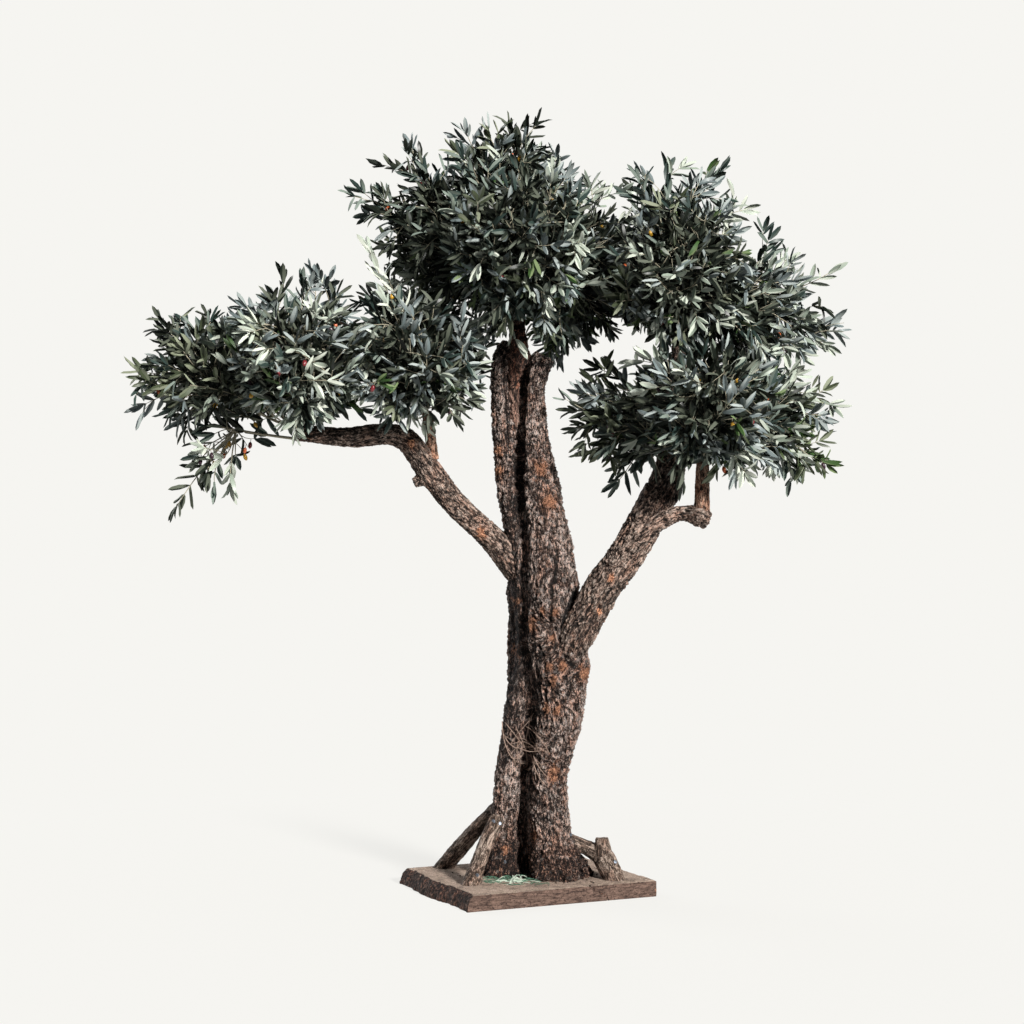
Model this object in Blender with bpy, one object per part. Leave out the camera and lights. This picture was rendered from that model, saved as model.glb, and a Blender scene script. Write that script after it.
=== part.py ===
"""Artificial olive tree: a gnarled real-wood trunk, screwed and braced on a waney-edged plank.

Metres, +Z up. The origin is the middle of the plank's flat underside. The crown spreads
along X, the tree's front faces -Y, and the plank is turned a little about Z under it.

The trunk is several stems grown together. Boughs and pegs leave it, each one tapering limb,
and wire stems stand on their tips. Each stem carries one mass of foliage that keeps to its
own space: twigs by a seeded rule, with oversized leaves, each leaf standing for a spray.
"""

import math
import random

import bmesh
import bpy
from mathutils import Matrix, Vector

# ---- driving dimensions -------------------------------------------------------------

GAP = 0.0003  # clearance where one piece is seated on another
SPARE = 0.0004  # what a cutter is grown by, so that facets stay clear of each other

PLANK_LENGTH = 0.503
PLANK_DEPTH = 0.444
PLANK_THICKNESS = 0.040
PLANK_TURN = math.radians(25.0)
WANE = 0.020  # how far the waney end runs out from top to bottom
WANE_RIPPLE = 0.006
WANE_STEPS = 10

STEM_SIDES = 11
BOUGH_SIDES = 9
PEG_SIDES = 8
TOE_SIDES = 7
STEM_STEP = 0.16  # distance between the rings of a trunk stem
RING_STEP = 0.07  # and of a bough
TOE_STEP = 0.20  # and of a root toe
ONE_SPAN = 10.0  # a step so long that a limb gets no rings between its knots

WIRE_RADIUS = 0.0045  # a foliage stem where it leaves its limb
WIRE_END_RADIUS = 0.0036
WIRE_RINGS = 4
WIRE_INSET = 0.001  # how far a stem's foot keeps in from its limb's rim
WIRE_BEND = 0.4  # how far a stem runs on along its limb before it turns, as a share
TWIG_ROOT_RADIUS = 0.0018  # inside its stem
TWIG_RADIUS = 0.0040
TWIG_END_RADIUS = 0.0030

LEAF_LENGTH = 0.165
LEAF_WIDTH = 0.075
LEAF_THICKNESS = 0.0070
LEAF_SHOULDER = 0.40  # where the leaf is widest, as a share of its length
OLIVE_LENGTH = 0.042
OLIVE_WIDTH = 0.026
OLIVE_SHOULDER = 0.55
OLIVE_HANG = 0.8  # how strongly an olive turns down
LEAF_ROOT_SINK = 0.0010  # how far a leaf's root passes the middle of its twig
LEAF_SPREAD = math.radians(42.0)  # angle between a leaf and its twig
LEAF_PITCH = 0.045  # distance between two pairs of leaves
LEAF_UPTURN = 0.5  # how strongly leaves turn their faces up
LEAF_BARE = 0.012  # the bare foot of a twig
LEAF_ROOM = 0.018  # between the middles of two leaves
TWIG_ROOM = 0.014
TWIG_SAG = 0.06
TWIG_BOW = 0.05
TWIG_SHORTEST = 0.03
TWIG_STOP = 0.45  # how far short of the mass's skin a twig stops, in leaf lengths
TIP_TWIG_STEP = 0.08  # how far back a sprig that stands out of it tries for its start
TIP_TWIG_TRIES = 7
FIRST_TWIG = 0.65  # where on its stem a mass's first twig leaves, as a share
TWIGS_PER_MASS = 7
TWIG_WAYS = 18  # directions that are tried for them
PAIRS_PER_TWIG = 2
LEAF_TRIES = 10
STEM_PAST_CENTRE = 0.30  # how far a stem runs on past its mass's centre, in radii
LIMB_CLEARANCE = 0.007
STEM_CLEARANCE = 0.004
SKIN = 1.06  # how far past a mass's skin its own leaves reach
FREE_SKIN = 9.0  # for the sprigs that stand out of it
SPACE_GAP = 0.012  # a neighbour's space is further off by this and by the share below
SPACE_MARGIN = 1.01
REACH_STEP = 0.012
LONGEST_REACH = 0.5

FIRST_SEED = 111

PLANK_TOP = PLANK_THICKNESS
CUTTER_SIZE = (1.5, 1.5, 0.3)

COLOURS = {  # base colour, roughness
    "bark": ((0.115, 0.080, 0.062), 0.85),
    "stick": ((0.200, 0.150, 0.110), 0.80),
    "plank": ((0.260, 0.200, 0.150), 0.80),
    "foliage": ((0.085, 0.120, 0.085), 0.55),
    "dry_twig": ((0.230, 0.170, 0.130), 0.85),
}


# ---- limbs --------------------------------------------------------------------------


def spline(knots, step):
    """Points (x, y, z, radius) on a smooth curve through the knots, about one step apart."""
    rows = [Vector(k[:3]).to_4d() for k in knots]
    for row, knot in zip(rows, knots):
        row.w = knot[3]
    ends = [2 * rows[0] - rows[1], *rows, 2 * rows[-1] - rows[-2]]
    found = []
    for before, start, end, after in zip(ends, ends[1:], ends[2:], ends[3:]):
        count = max(1, round((end - start).to_3d().length / step))
        for i in range(count):
            t = i / count
            curve = 2 * start + (end - before) * t
            curve += (2 * before - 5 * start + 4 * end - after) * t * t
            curve += (3 * start - before - 3 * end + after) * t * t * t
            found.append(curve / 2)
    return found + [rows[-1]]


def extrude_on(bm, face, keep):
    """Extrudes a face and returns the new end face. The old face is kept only as an end cap."""
    made = bmesh.ops.extrude_face_region(bm, geom=[face])["geom"]
    if not keep:
        bmesh.ops.delete(bm, geom=[face], context="FACES_ONLY")
    return next(part for part in made if isinstance(part, bmesh.types.BMFace))


class Limb:
    """A round tapering limb through a few knots, with an uneven, faintly twisted section."""

    def __init__(self, knots, sides=BOUGH_SIDES, step=RING_STEP, gnarl=0.05, phase=0.0, depth=1.0):
        rows = spline(knots, step)
        self.centres = [row.to_3d() for row in rows]
        self.radii = [row.w for row in rows]
        self.sides = sides
        self.gnarl = gnarl
        self.phase = phase
        self.depth = depth  # how much deeper than wide the section is
        self.frames = self.carried_frames()

    def carried_frames(self):
        """A (right, up, along) frame at each centre, carried along with no twist."""
        frames = []
        side = Vector((1, 0, 0))
        last = len(self.centres) - 1
        for i in range(last + 1):
            ahead = self.centres[min(i + 1, last)] - self.centres[max(i - 1, 0)]
            ahead.normalize()
            if not frames and abs(ahead.x) > 0.9:
                side = Vector((0, 1, 0))
            side = (side - ahead * side.dot(ahead)).normalized()
            frames.append((side, ahead.cross(side), ahead))
        return frames

    def section(self, ring, grow=0.0):
        """The corners of one ring, in order round the limb."""
        right, up, _ = self.frames[ring]
        corners = []
        for k in range(self.sides):
            turn = math.tau * k / self.sides
            bumps = math.sin(2 * turn + self.phase + 0.9 * ring)
            bumps += 0.7 * math.sin(3 * turn - 1.7 * self.phase - 0.6 * ring)
            radius = self.radii[ring] * (1 + self.gnarl * bumps) + grow
            wide = right * math.cos(turn) * radius
            deep = up * math.sin(turn) * (radius * self.depth)
            corners.append(self.centres[ring] + wide + deep)
        return corners

    def mesh(self, grow=0.0, first=0, last=None):
        """A closed bmesh: one end face, extruded from ring to ring."""
        last = len(self.centres) - 1 if last is None else last
        bm = bmesh.new()
        order = bm.verts.layers.int.new("order")
        corners = bmesh.ops.create_circle(bm, cap_ends=True, segments=self.sides, radius=1)["verts"]
        for number, vert in enumerate(corners):
            vert[order] = number
        face = bm.faces[:][0]
        self.place(face, order, first, grow, back=grow)
        for ring in range(first + 1, last + 1):
            face = extrude_on(bm, face, keep=ring == first + 1)
            self.place(face, order, ring, grow, back=-grow if ring == last else 0.0)
        bmesh.ops.triangulate(bm, faces=bm.faces[:], quad_method="FIXED")
        bmesh.ops.recalc_face_normals(bm, faces=bm.faces[:])
        return bm

    def place(self, face, order, ring, grow, back):
        """Sets a face's corners to a ring, pushed back along the limb at a grown end."""
        corners = self.section(ring, grow)
        along = self.frames[ring][2]
        for vert in face.verts:
            vert.co = corners[vert[order]] - along * back

    def at(self, share):
        """The point at a share of the way along, from 0 at the root to 1 at the tip."""
        span = min(len(self.centres) - 2, int(share * (len(self.centres) - 1)))
        return self.centres[span].lerp(self.centres[span + 1], share * (len(self.centres) - 1) - span)

    def tip(self):
        """(point, axis, radius) of the limb's end face."""
        return self.centres[-1], self.frames[-1][2], self.radii[-1]

    def spans(self):
        """The limb as short round bars: (start, end, larger radius)."""
        for i in range(len(self.centres) - 1):
            radius = max(self.radii[i], self.radii[i + 1]) * max(1.0, self.depth)
            yield self.centres[i], self.centres[i + 1], radius * (1 + 1.5 * self.gnarl)


# The trunk's stems: (x, y, z, radius) from the foot up. They start under the plank's top and
# are cut flat there.
TRUNK_STEMS = [
    Limb(  # the main stem, in front on the right, thickest under the right bough
        [
            (0.070, -0.048, 0.010, 0.066),
            (0.058, -0.042, 0.120, 0.051),
            (0.045, -0.032, 0.281, 0.049),
            (0.066, -0.030, 0.434, 0.064),
            (0.068, -0.030, 0.600, 0.080),
            (0.054, -0.022, 0.793, 0.071),
            (0.031, -0.012, 0.998, 0.053),
            (0.012, -0.008, 1.151, 0.036),
            (0.010, -0.008, 1.270, 0.029),
            (0.026, -0.010, 1.345, 0.030),
            (0.040, -0.012, 1.382, 0.026),
        ],
        sides=STEM_SIDES,
        step=STEM_STEP,
        depth=1.1,
        phase=0.4,
    ),
    Limb(  # the slimmer stem on the left
        [
            (-0.072, -0.004, 0.010, 0.053),
            (-0.066, -0.004, 0.127, 0.036),
            (-0.053, -0.006, 0.281, 0.034),
            (-0.033, -0.010, 0.434, 0.036),
            (-0.009, -0.012, 0.614, 0.033),
            (-0.018, -0.012, 0.844, 0.030),
            (-0.046, -0.008, 0.998, 0.029),
            (-0.061, -0.004, 1.151, 0.027),
            (-0.073, 0.000, 1.305, 0.025),
            (-0.068, 0.002, 1.365, 0.022),
            (-0.052, 0.004, 1.400, 0.015),
        ],
        sides=STEM_SIDES,
        step=STEM_STEP,
        depth=1.25,
        phase=1.9,
    ),
    Limb(  # the stem behind, which closes the cleft between the other two
        [
            (-0.002, 0.058, 0.010, 0.078),
            (-0.004, 0.046, 0.130, 0.060),
            (-0.002, 0.040, 0.300, 0.056),
            (0.020, 0.040, 0.600, 0.070),
            (0.016, 0.036, 0.850, 0.062),
            (-0.008, 0.028, 1.080, 0.043),
            (-0.028, 0.022, 1.250, 0.031),
            (-0.030, 0.020, 1.366, 0.028),
        ],
        sides=STEM_SIDES,
        step=STEM_STEP,
        depth=0.9,
        phase=3.1,
    ),
]
# The flare: short root toes round the foot, from their ends on the plank up into a stem.
ROOT_TOES = [
    Limb([(*end, thin), (*top, thick)], sides=TOE_SIDES, step=TOE_STEP, gnarl=0.07, phase=phase)
    for end, thin, top, thick, phase in (
        ((0.102, -0.098, 0.034), 0.026, (0.066, -0.052, 0.135), 0.036, 0.3),
        ((0.030, -0.100, 0.032), 0.022, (0.048, -0.052, 0.130), 0.030, 1.1),
        ((0.160, -0.028, 0.040), 0.010, (0.082, -0.030, 0.130), 0.024, 2.2),
        ((-0.082, -0.052, 0.034), 0.026, (-0.066, -0.010, 0.130), 0.028, 2.9),
        ((-0.130, 0.036, 0.036), 0.020, (-0.062, 0.012, 0.140), 0.030, 3.7),
        ((0.076, 0.136, 0.034), 0.026, (0.018, 0.052, 0.150), 0.040, 4.6),
        ((-0.066, 0.140, 0.034), 0.024, (-0.012, 0.054, 0.150), 0.040, 5.3),
    )
]

LEFT_BOUGH = Limb(
    [
        (-0.022, 0.000, 0.815, 0.040),
        (-0.079, -0.012, 0.885, 0.034),
        (-0.193, -0.022, 0.993, 0.031),
        (-0.254, -0.030, 1.071, 0.032),
        (-0.302, -0.037, 1.141, 0.031),
        (-0.345, -0.043, 1.163, 0.027),
        (-0.396, -0.050, 1.162, 0.025),
        (-0.466, -0.056, 1.156, 0.025),
        (-0.590, -0.066, 1.168, 0.021),
    ],
    step=0.035,
)
BEND_X = -0.318  # the left bough is two nodes, which meet where it passes this x
LEFT_KNOT = Limb(
    [(-0.268, -0.030, 1.052, 0.020), (-0.292, -0.034, 1.040, 0.013)], sides=8, gnarl=0.1
)
LEFT_PEG = Limb([(-0.243, -0.028, 1.100, 0.0145), (-0.260, -0.022, 1.224, 0.0125)], PEG_SIDES)
LEFT_TIP_PEG = Limb([(-0.573, -0.065, 1.165, 0.013), (-0.580, -0.060, 1.226, 0.0125)], PEG_SIDES)

RIGHT_BOUGH = Limb(
    [
        (0.106, -0.076, 0.600, 0.024),
        (0.120, -0.086, 0.655, 0.038),
        (0.184, -0.085, 0.770, 0.044),
        (0.260, -0.070, 0.884, 0.048),
        (0.320, -0.050, 0.985, 0.046),
        (0.360, -0.030, 1.080, 0.036),
        (0.382, 0.000, 1.280, 0.027),
        (0.398, 0.022, 1.500, 0.020),
    ],
    phase=0.8,
)
RIGHT_ARM = Limb(
    [
        (0.222, -0.082, 0.835, 0.026),
        (0.268, -0.112, 0.893, 0.024),
        (0.305, -0.120, 0.929, 0.021),
        (0.346, -0.116, 0.953, 0.021),
        (0.386, -0.110, 0.965, 0.020),
        (0.424, -0.106, 0.958, 0.026),
        (0.450, -0.103, 0.946, 0.021),
    ],
    step=0.04,
    gnarl=0.06,
)
RIGHT_PEG = Limb([(0.434, -0.105, 0.955, 0.021), (0.437, -0.101, 1.105, 0.0145)], PEG_SIDES + 2)
LEADER = Limb(
    [
        (-0.026, 0.016, 1.330, 0.021),
        (-0.028, 0.020, 1.440, 0.0175),
        (-0.022, 0.030, 1.560, 0.0155),
    ],
    sides=PEG_SIDES + 2,
)

# Sawn branches that brace the trunk on the plank. Each runs from its foot up to the trunk.
BRACES = {
    "brace_left_front": Limb(
        [
            (-0.152, -0.160, 0.020, 0.026),
            (-0.130, -0.128, 0.078, 0.020),
            (-0.110, -0.092, 0.130, 0.019),
            (-0.078, -0.050, 0.192, 0.017),
            (-0.070, -0.040, 0.208, 0.012),
        ],
        step=0.03,
    ),
    "brace_left_back": Limb(
        [
            (-0.238, 0.112, 0.020, 0.022),
            (-0.175, 0.076, 0.100, 0.021),
            (-0.120, 0.040, 0.165, 0.019),
            (-0.075, 0.020, 0.215, 0.017),
        ],
        phase=2.0,
    ),
    "brace_right": Limb(
        [
            (0.066, -0.030, 0.146, 0.018),
            (0.114, -0.036, 0.127, 0.019),
            (0.154, -0.040, 0.110, 0.020),
            (0.190, -0.052, 0.090, 0.025),
            (0.226, -0.088, 0.022, 0.023),
        ],
        step=0.03,
        phase=1.0,
    ),
}
BRACE_STUB = Limb([(0.188, -0.052, 0.090, 0.018), (0.188, -0.055, 0.141, 0.010)], sides=8, step=0.025)

# Dry vine twigs caught in the trunk's cleft: (length, lean from upright in degrees, bend).
DRY_ROOT = Vector((-0.012, -0.062, 0.395))
DRY_TWIGS = [
    (0.115, -62, 0.020),
    (0.105, -32, -0.012),
    (0.120, 6, 0.010),
    (0.090, 34, -0.010),
    (0.095, 66, 0.012),
    (0.085, 118, -0.010),
]
DRY_RADIUS = 0.0024
DRY_PEG_RADIUS = 0.006  # the knot that they grow from
DRY_PEG_LENGTH = 0.030


# ---- foliage spaces -----------------------------------------------------------------


class Mass:
    """One mass of foliage: an ellipsoid of crown, on a wire stem from a limb's tip."""

    def __init__(self, limb, centre, radii, tips=()):
        self.limb = limb
        self.centre = Vector(centre)
        self.radii = radii
        self.tips = [Vector(tip) for tip in tips]  # ends of sprigs that stand out of it
        self.stem = None

    def depth(self, point):
        """0 at the middle of the mass, 1 on its skin."""
        away = point - self.centre
        return math.sqrt(sum((away[k] / self.radii[k]) ** 2 for k in range(3)))


MASSES = {
    "foliage_left_tip": Mass(
        LEFT_BOUGH, (-0.830, -0.060, 1.315), (0.220, 0.290, 0.190),
        [(-1.034, -0.060, 1.331), (-1.030, -0.010, 1.230), (-0.965, -0.050, 1.489)],
    ),
    "foliage_left_droop": Mass(
        LEFT_BOUGH, (-0.780, -0.080, 1.130), (0.150, 0.160, 0.130),
        [(-0.918, -0.080, 0.944), (-0.759, -0.080, 0.985)],
    ),
    "foliage_left_mid_front": Mass(
        LEFT_TIP_PEG, (-0.565, -0.240, 1.360), (0.220, 0.250, 0.205), [(-0.530, -0.100, 1.600)]
    ),
    "foliage_left_mid_back": Mass(
        LEFT_TIP_PEG, (-0.590, 0.210, 1.400), (0.240, 0.270, 0.210)
    ),
    "foliage_left_inner_front": Mass(
        LEFT_PEG, (-0.280, -0.200, 1.360), (0.220, 0.240, 0.200), [(-0.105, -0.170, 1.240)]
    ),
    "foliage_left_inner_back": Mass(
        LEFT_PEG, (-0.275, 0.240, 1.430), (0.220, 0.260, 0.210), [(-0.330, 0.060, 1.640)]
    ),
    "foliage_top_left": Mass(
        LEADER, (-0.255, 0.000, 1.680), (0.220, 0.290, 0.230),
        [(-0.471, -0.020, 1.804), (-0.368, -0.020, 1.881), (-0.325, -0.020, 1.940)],
    ),
    "foliage_top_front": Mass(LEADER, (-0.015, -0.260, 1.660), (0.240, 0.250, 0.250)),
    "foliage_top_back": Mass(LEADER, (-0.030, 0.300, 1.700), (0.260, 0.260, 0.250)),
    "foliage_top_crown": Mass(
        LEADER, (-0.075, 0.010, 1.860), (0.200, 0.260, 0.140),
        [(-0.186, 0.000, 1.976), (-0.048, 0.000, 2.004), (0.036, 0.010, 2.002)],
    ),
    "foliage_top_right": Mass(
        LEADER, (0.170, 0.030, 1.600), (0.190, 0.280, 0.270), [(0.093, 0.000, 1.872)]
    ),
    "foliage_upper_right_front": Mass(
        RIGHT_BOUGH, (0.400, -0.230, 1.570), (0.240, 0.260, 0.270), [(0.345, -0.060, 1.878)]
    ),
    "foliage_upper_right_back": Mass(
        RIGHT_BOUGH, (0.410, 0.260, 1.650), (0.260, 0.270, 0.230), [(0.515, 0.050, 1.889)]
    ),
    "foliage_upper_right_outer": Mass(
        RIGHT_BOUGH, (0.610, 0.000, 1.500), (0.200, 0.280, 0.210),
        [(0.822, 0.000, 1.594), (0.838, 0.000, 1.430), (0.638, -0.020, 1.702)],
    ),
    "foliage_lower_right_inner": Mass(
        RIGHT_PEG, (0.240, -0.080, 1.200), (0.170, 0.230, 0.160),
        [(0.066, -0.060, 1.225), (0.200, -0.080, 1.000)],
    ),
    "foliage_lower_right_front": Mass(
        RIGHT_PEG, (0.440, -0.290, 1.235), (0.230, 0.230, 0.200)
    ),
    "foliage_lower_right_back": Mass(
        RIGHT_PEG, (0.460, 0.240, 1.280), (0.250, 0.270, 0.200)
    ),
    "foliage_lower_right_outer": Mass(
        RIGHT_PEG, (0.650, -0.020, 1.210), (0.180, 0.270, 0.180),
        [(0.799, -0.020, 1.062), (0.797, -0.010, 1.292)],
    ),
}

LIMBS = [
    *TRUNK_STEMS, *ROOT_TOES, LEFT_BOUGH, LEFT_KNOT, LEFT_PEG, LEFT_TIP_PEG,
    RIGHT_BOUGH, RIGHT_ARM, RIGHT_PEG, LEADER,
]


def wire_stems():
    """Gives each mass its stem: those on one limb stand round its tip, each on its own side."""
    for limb in {id(m.limb): m.limb for m in MASSES.values()}.values():
        point, axis, radius = limb.tip()
        right, up, _ = limb.frames[-1]
        group = [m for m in MASSES.values() if m.limb is limb]
        turns = {id(m): math.atan2((m.centre - point).dot(up), (m.centre - point).dot(right))
                 for m in group}
        group.sort(key=lambda m: turns[id(m)])
        share = math.tau / len(group)
        drift = [turns[id(m)] - i * share for i, m in enumerate(group)]
        start = math.atan2(sum(map(math.sin, drift)), sum(map(math.cos, drift)))
        out = radius - WIRE_RADIUS - WIRE_INSET
        for i, mass in enumerate(group):
            turn = start + i * share
            foot = point + axis * (2 * GAP)
            foot += (right * math.cos(turn) + up * math.sin(turn)) * out
            onward = (mass.centre - foot).normalized() * (STEM_PAST_CENTRE * mass.radii[0])
            mass.stem = wire(foot, axis, mass.centre + onward)


def wire(start, axis, end):
    """A thin three-sided stem that leaves along an axis and bends over to its end."""
    bend = start + axis * (WIRE_BEND * (end - start).length)
    rows = []
    for i in range(WIRE_RINGS):
        t = i / (WIRE_RINGS - 1)
        place = start * (1 - t) ** 2 + bend * (2 * t * (1 - t)) + end * t * t
        rows.append((*place, WIRE_RADIUS + (WIRE_END_RADIUS - WIRE_RADIUS) * t))
    made = Limb(rows, sides=3, step=ONE_SPAN, gnarl=0.0)
    made.frames[0] = frame_along(axis)
    return made


def frame_along(axis):
    """A (right, up, along) frame whose last direction is the axis."""
    turned = axis.to_track_quat("Z", "Y").to_matrix()
    return turned.col[0].copy(), turned.col[1].copy(), axis.copy()


def distance_to_bar(point, start, end):
    """Distance from a point to a straight bar's middle line."""
    along = end - start
    share = max(0.0, min(1.0, (point - start).dot(along) / along.length_squared))
    return (point - start - along * share).length


def is_clear(points, mass):
    """Whether points keep off every limb, and off every other mass's stem."""
    for limb in LIMBS:
        for start, end, radius in limb.spans():
            if any(distance_to_bar(p, start, end) < radius + LIMB_CLEARANCE for p in points):
                return False
    for other in MASSES.values():
        if other is mass:
            continue
        for start, end, radius in other.stem.spans():
            if any(distance_to_bar(p, start, end) < radius + STEM_CLEARANCE for p in points):
                return False
    return True


def is_own(points, mass, skin):
    """Whether points lie in this mass's space: inside its skin, and deepest in this mass."""
    for point in points:
        depth = mass.depth(point)
        if depth > skin:
            return False
        for other in MASSES.values():
            if other is not mass and other.depth(point) < depth * SPACE_MARGIN + SPACE_GAP:
                return False
    return True


def even_directions(count, turn):
    """Directions spread evenly over a sphere."""
    for k in range(count):
        z = 1 - (2 * k + 1) / count
        flat = math.sqrt(1 - z * z)
        angle = turn + k * math.pi * (3 - math.sqrt(5))
        yield Vector((flat * math.cos(angle), flat * math.sin(angle), z))


# ---- objects ------------------------------------------------------------------------


def material(name):
    """The named plain material, made on first use."""
    if name in bpy.data.materials:
        return bpy.data.materials[name]
    made = bpy.data.materials.new(name)
    made.use_nodes = True
    colour, roughness = COLOURS[name]
    shader = made.node_tree.nodes["Principled BSDF"]
    shader.inputs["Base Color"].default_value = (*colour, 1.0)
    shader.inputs["Roughness"].default_value = roughness
    made.diffuse_color = (*colour, 1.0)
    return made


def add_object(name, bm, finish="bark"):
    """A new object in the scene from a bmesh, which it frees."""
    mesh = bpy.data.meshes.new(name)
    bm.to_mesh(mesh)
    bm.free()
    mesh.materials.append(material(finish))
    made = bpy.data.objects.new(name, mesh)
    bpy.context.scene.collection.objects.link(made)
    return made


def combine(target, others, operation, solver="EXACT"):
    """Applies one Boolean with all the others to the target, and removes them."""
    helpers = bpy.data.collections.new("helpers")
    bpy.context.scene.collection.children.link(helpers)
    for other in others:
        bpy.context.scene.collection.objects.unlink(other)
        helpers.objects.link(other)
    modifier = target.modifiers.new("combine", "BOOLEAN")
    modifier.operation = operation
    modifier.operand_type = "COLLECTION"
    modifier.collection = helpers
    modifier.solver = solver
    bpy.context.view_layer.update()
    graph = bpy.context.evaluated_depsgraph_get()
    result = bpy.data.meshes.new_from_object(target.evaluated_get(graph))
    target.modifiers.clear()
    target.data = result
    for other in others:
        bpy.data.objects.remove(other)
    bpy.data.collections.remove(helpers)
    return target


def keep_largest(target):
    """Drops every loose scrap of a mesh but its largest piece."""
    bm = bmesh.new()
    bm.from_mesh(target.data)
    left = set(bm.verts)
    pieces = []
    while left:
        piece, edge = set(), [left.pop()]
        while edge:
            vert = edge.pop()
            piece.add(vert)
            near = {e.other_vert(vert) for e in vert.link_edges} & left
            left -= near
            edge.extend(near)
        pieces.append(piece)
    pieces.sort(key=len)
    for piece in pieces[:-1]:
        bmesh.ops.delete(bm, geom=list(piece), context="VERTS")
    bm.to_mesh(target.data)
    bm.free()
    return target


def ground_cutter():
    """A block that fills the space under the plank's top, with the seating gap above it."""
    bm = bmesh.new()
    bmesh.ops.create_cube(bm, size=1.0)
    size = Matrix.Diagonal((*CUTTER_SIZE, 1.0))
    low = Matrix.Translation((0, 0, PLANK_TOP + GAP - CUTTER_SIZE[2] / 2))
    bmesh.ops.transform(bm, matrix=low @ size, verts=bm.verts[:])
    return add_object("ground_cutter", bm)


def make_plank():
    """The plank: sawn on three sides, with a waney end that runs out towards the underside."""
    half_x, half_y = PLANK_LENGTH / 2, PLANK_DEPTH / 2

    def outline(run_out):
        """The plank's corners, with the waney end pushed out."""
        rows = []
        for i in range(WANE_STEPS + 1):
            y = half_y - PLANK_DEPTH * i / WANE_STEPS
            ripple = WANE_RIPPLE * math.sin(9.0 * i / WANE_STEPS + 0.6)
            rows.append(Vector((-half_x - run_out + ripple, y, 0)))
        return [*rows, Vector((half_x, -half_y, 0)), Vector((half_x, half_y, 0))]

    bm = bmesh.new()
    order = bm.verts.layers.int.new("order")
    verts = [bm.verts.new(point) for point in outline(WANE)]
    for number, vert in enumerate(verts):
        vert[order] = number
    face = bm.faces.new(verts)
    for height, run_out in ((0.45, WANE * 0.85), (1.0, 0.0)):
        face = extrude_on(bm, face, keep=run_out > 0)
        points = outline(run_out)
        for vert in face.verts:
            vert.co = points[vert[order]] + Vector((0, 0, PLANK_THICKNESS * height))
    bmesh.ops.recalc_face_normals(bm, faces=bm.faces[:])
    bmesh.ops.rotate(bm, verts=bm.verts[:], cent=(0, 0, 0), matrix=Matrix.Rotation(PLANK_TURN, 3, "Z"))
    return add_object("plank_base", bm, "plank")


def make_trunk(name, grow=0.0):
    """The stems and root toes fused into one trunk, cut flat on the plank."""
    first, *others = [*TRUNK_STEMS, *ROOT_TOES]
    trunk = add_object(name, first.mesh(grow))
    combine(trunk, [add_object("part", limb.mesh(grow)) for limb in others], "UNION")
    if not grow:
        combine(trunk, [ground_cutter()], "DIFFERENCE")
        keep_largest(trunk)
    return trunk


def make_limb(name, parts, seats, finish="bark", on_plank=False, **rings):
    """One limb, with any stubs fused to it, cut clear of the limbs that it is seated on."""
    main, *stubs = parts
    limb = add_object(name, main.mesh(**rings), finish)
    if stubs:
        combine(limb, [add_object("part", stub.mesh()) for stub in stubs], "UNION")
    cutters = [seat() for seat in seats]
    if on_plank:
        cutters.append(ground_cutter())
    for cutter in cutters:
        combine(limb, [cutter], "DIFFERENCE")
    return keep_largest(limb)


def grown(*limbs):
    """Makes a cutter: limbs grown by the seating gap."""
    return lambda: combine_all([add_object("cutter", limb.mesh(GAP + SPARE)) for limb in limbs])


def combine_all(objects):
    """Fuses objects into the first of them."""
    first, *others = objects
    return combine(first, others, "UNION") if others else first


def grown_trunk():
    """Makes a cutter: the trunk grown by the seating gap."""
    return make_trunk("cutter", GAP + SPARE)


def make_boughs():
    """Every limb above the trunk, from its seat to its tip."""
    split = next(i for i, centre in enumerate(LEFT_BOUGH.centres) if centre.x < BEND_X)
    make_limb("bough_left_inner", [LEFT_BOUGH, LEFT_KNOT], [grown_trunk], last=split)
    outer = make_limb("bough_left_outer", [LEFT_BOUGH], [], first=split)
    along = LEFT_BOUGH.frames[split][2]
    outer.data.transform(Matrix.Translation(along * GAP))
    make_limb("peg_left", [LEFT_PEG], [grown(LEFT_BOUGH)], "stick")
    make_limb("peg_left_tip", [LEFT_TIP_PEG], [grown(LEFT_BOUGH)], "stick")
    make_limb("bough_right", [RIGHT_BOUGH], [grown_trunk])
    make_limb("arm_right", [RIGHT_ARM], [grown(RIGHT_BOUGH)])
    make_limb("peg_right", [RIGHT_PEG], [grown(RIGHT_ARM)])
    make_limb("leader", [LEADER], [grown_trunk])


def make_braces():
    """The three sawn branches between the trunk and the plank."""
    for name, limb in BRACES.items():
        stubs = [BRACE_STUB] if name == "brace_right" else []
        make_limb(name, [limb, *stubs], [grown_trunk], "stick", on_plank=True)


def make_dry_twigs():
    """Dry vine twigs fanning from one knot against the trunk's front."""
    limbs = []
    for length, lean, bend in DRY_TWIGS:
        angle = math.radians(lean)
        way = Vector((math.sin(angle), -0.10, math.cos(angle)))
        side = Vector((math.cos(angle), 0, -math.sin(angle)))
        middle = DRY_ROOT + way * (length * 0.5) + side * bend
        end = DRY_ROOT + way * length
        rows = [(*DRY_ROOT, DRY_RADIUS), (*middle, DRY_RADIUS * 0.8), (*end, DRY_RADIUS * 0.5)]
        limbs.append(Limb(rows, sides=3, step=ONE_SPAN, gnarl=0.0))
    back = DRY_ROOT + Vector((0, DRY_PEG_LENGTH, 0))
    rows = [(*back, DRY_PEG_RADIUS), (*DRY_ROOT, DRY_PEG_RADIUS)]
    make_limb("dry_twigs", [Limb(rows, sides=6, gnarl=0.0), *limbs], [grown_trunk], "dry_twig")


# ---- foliage ------------------------------------------------------------------------


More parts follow.
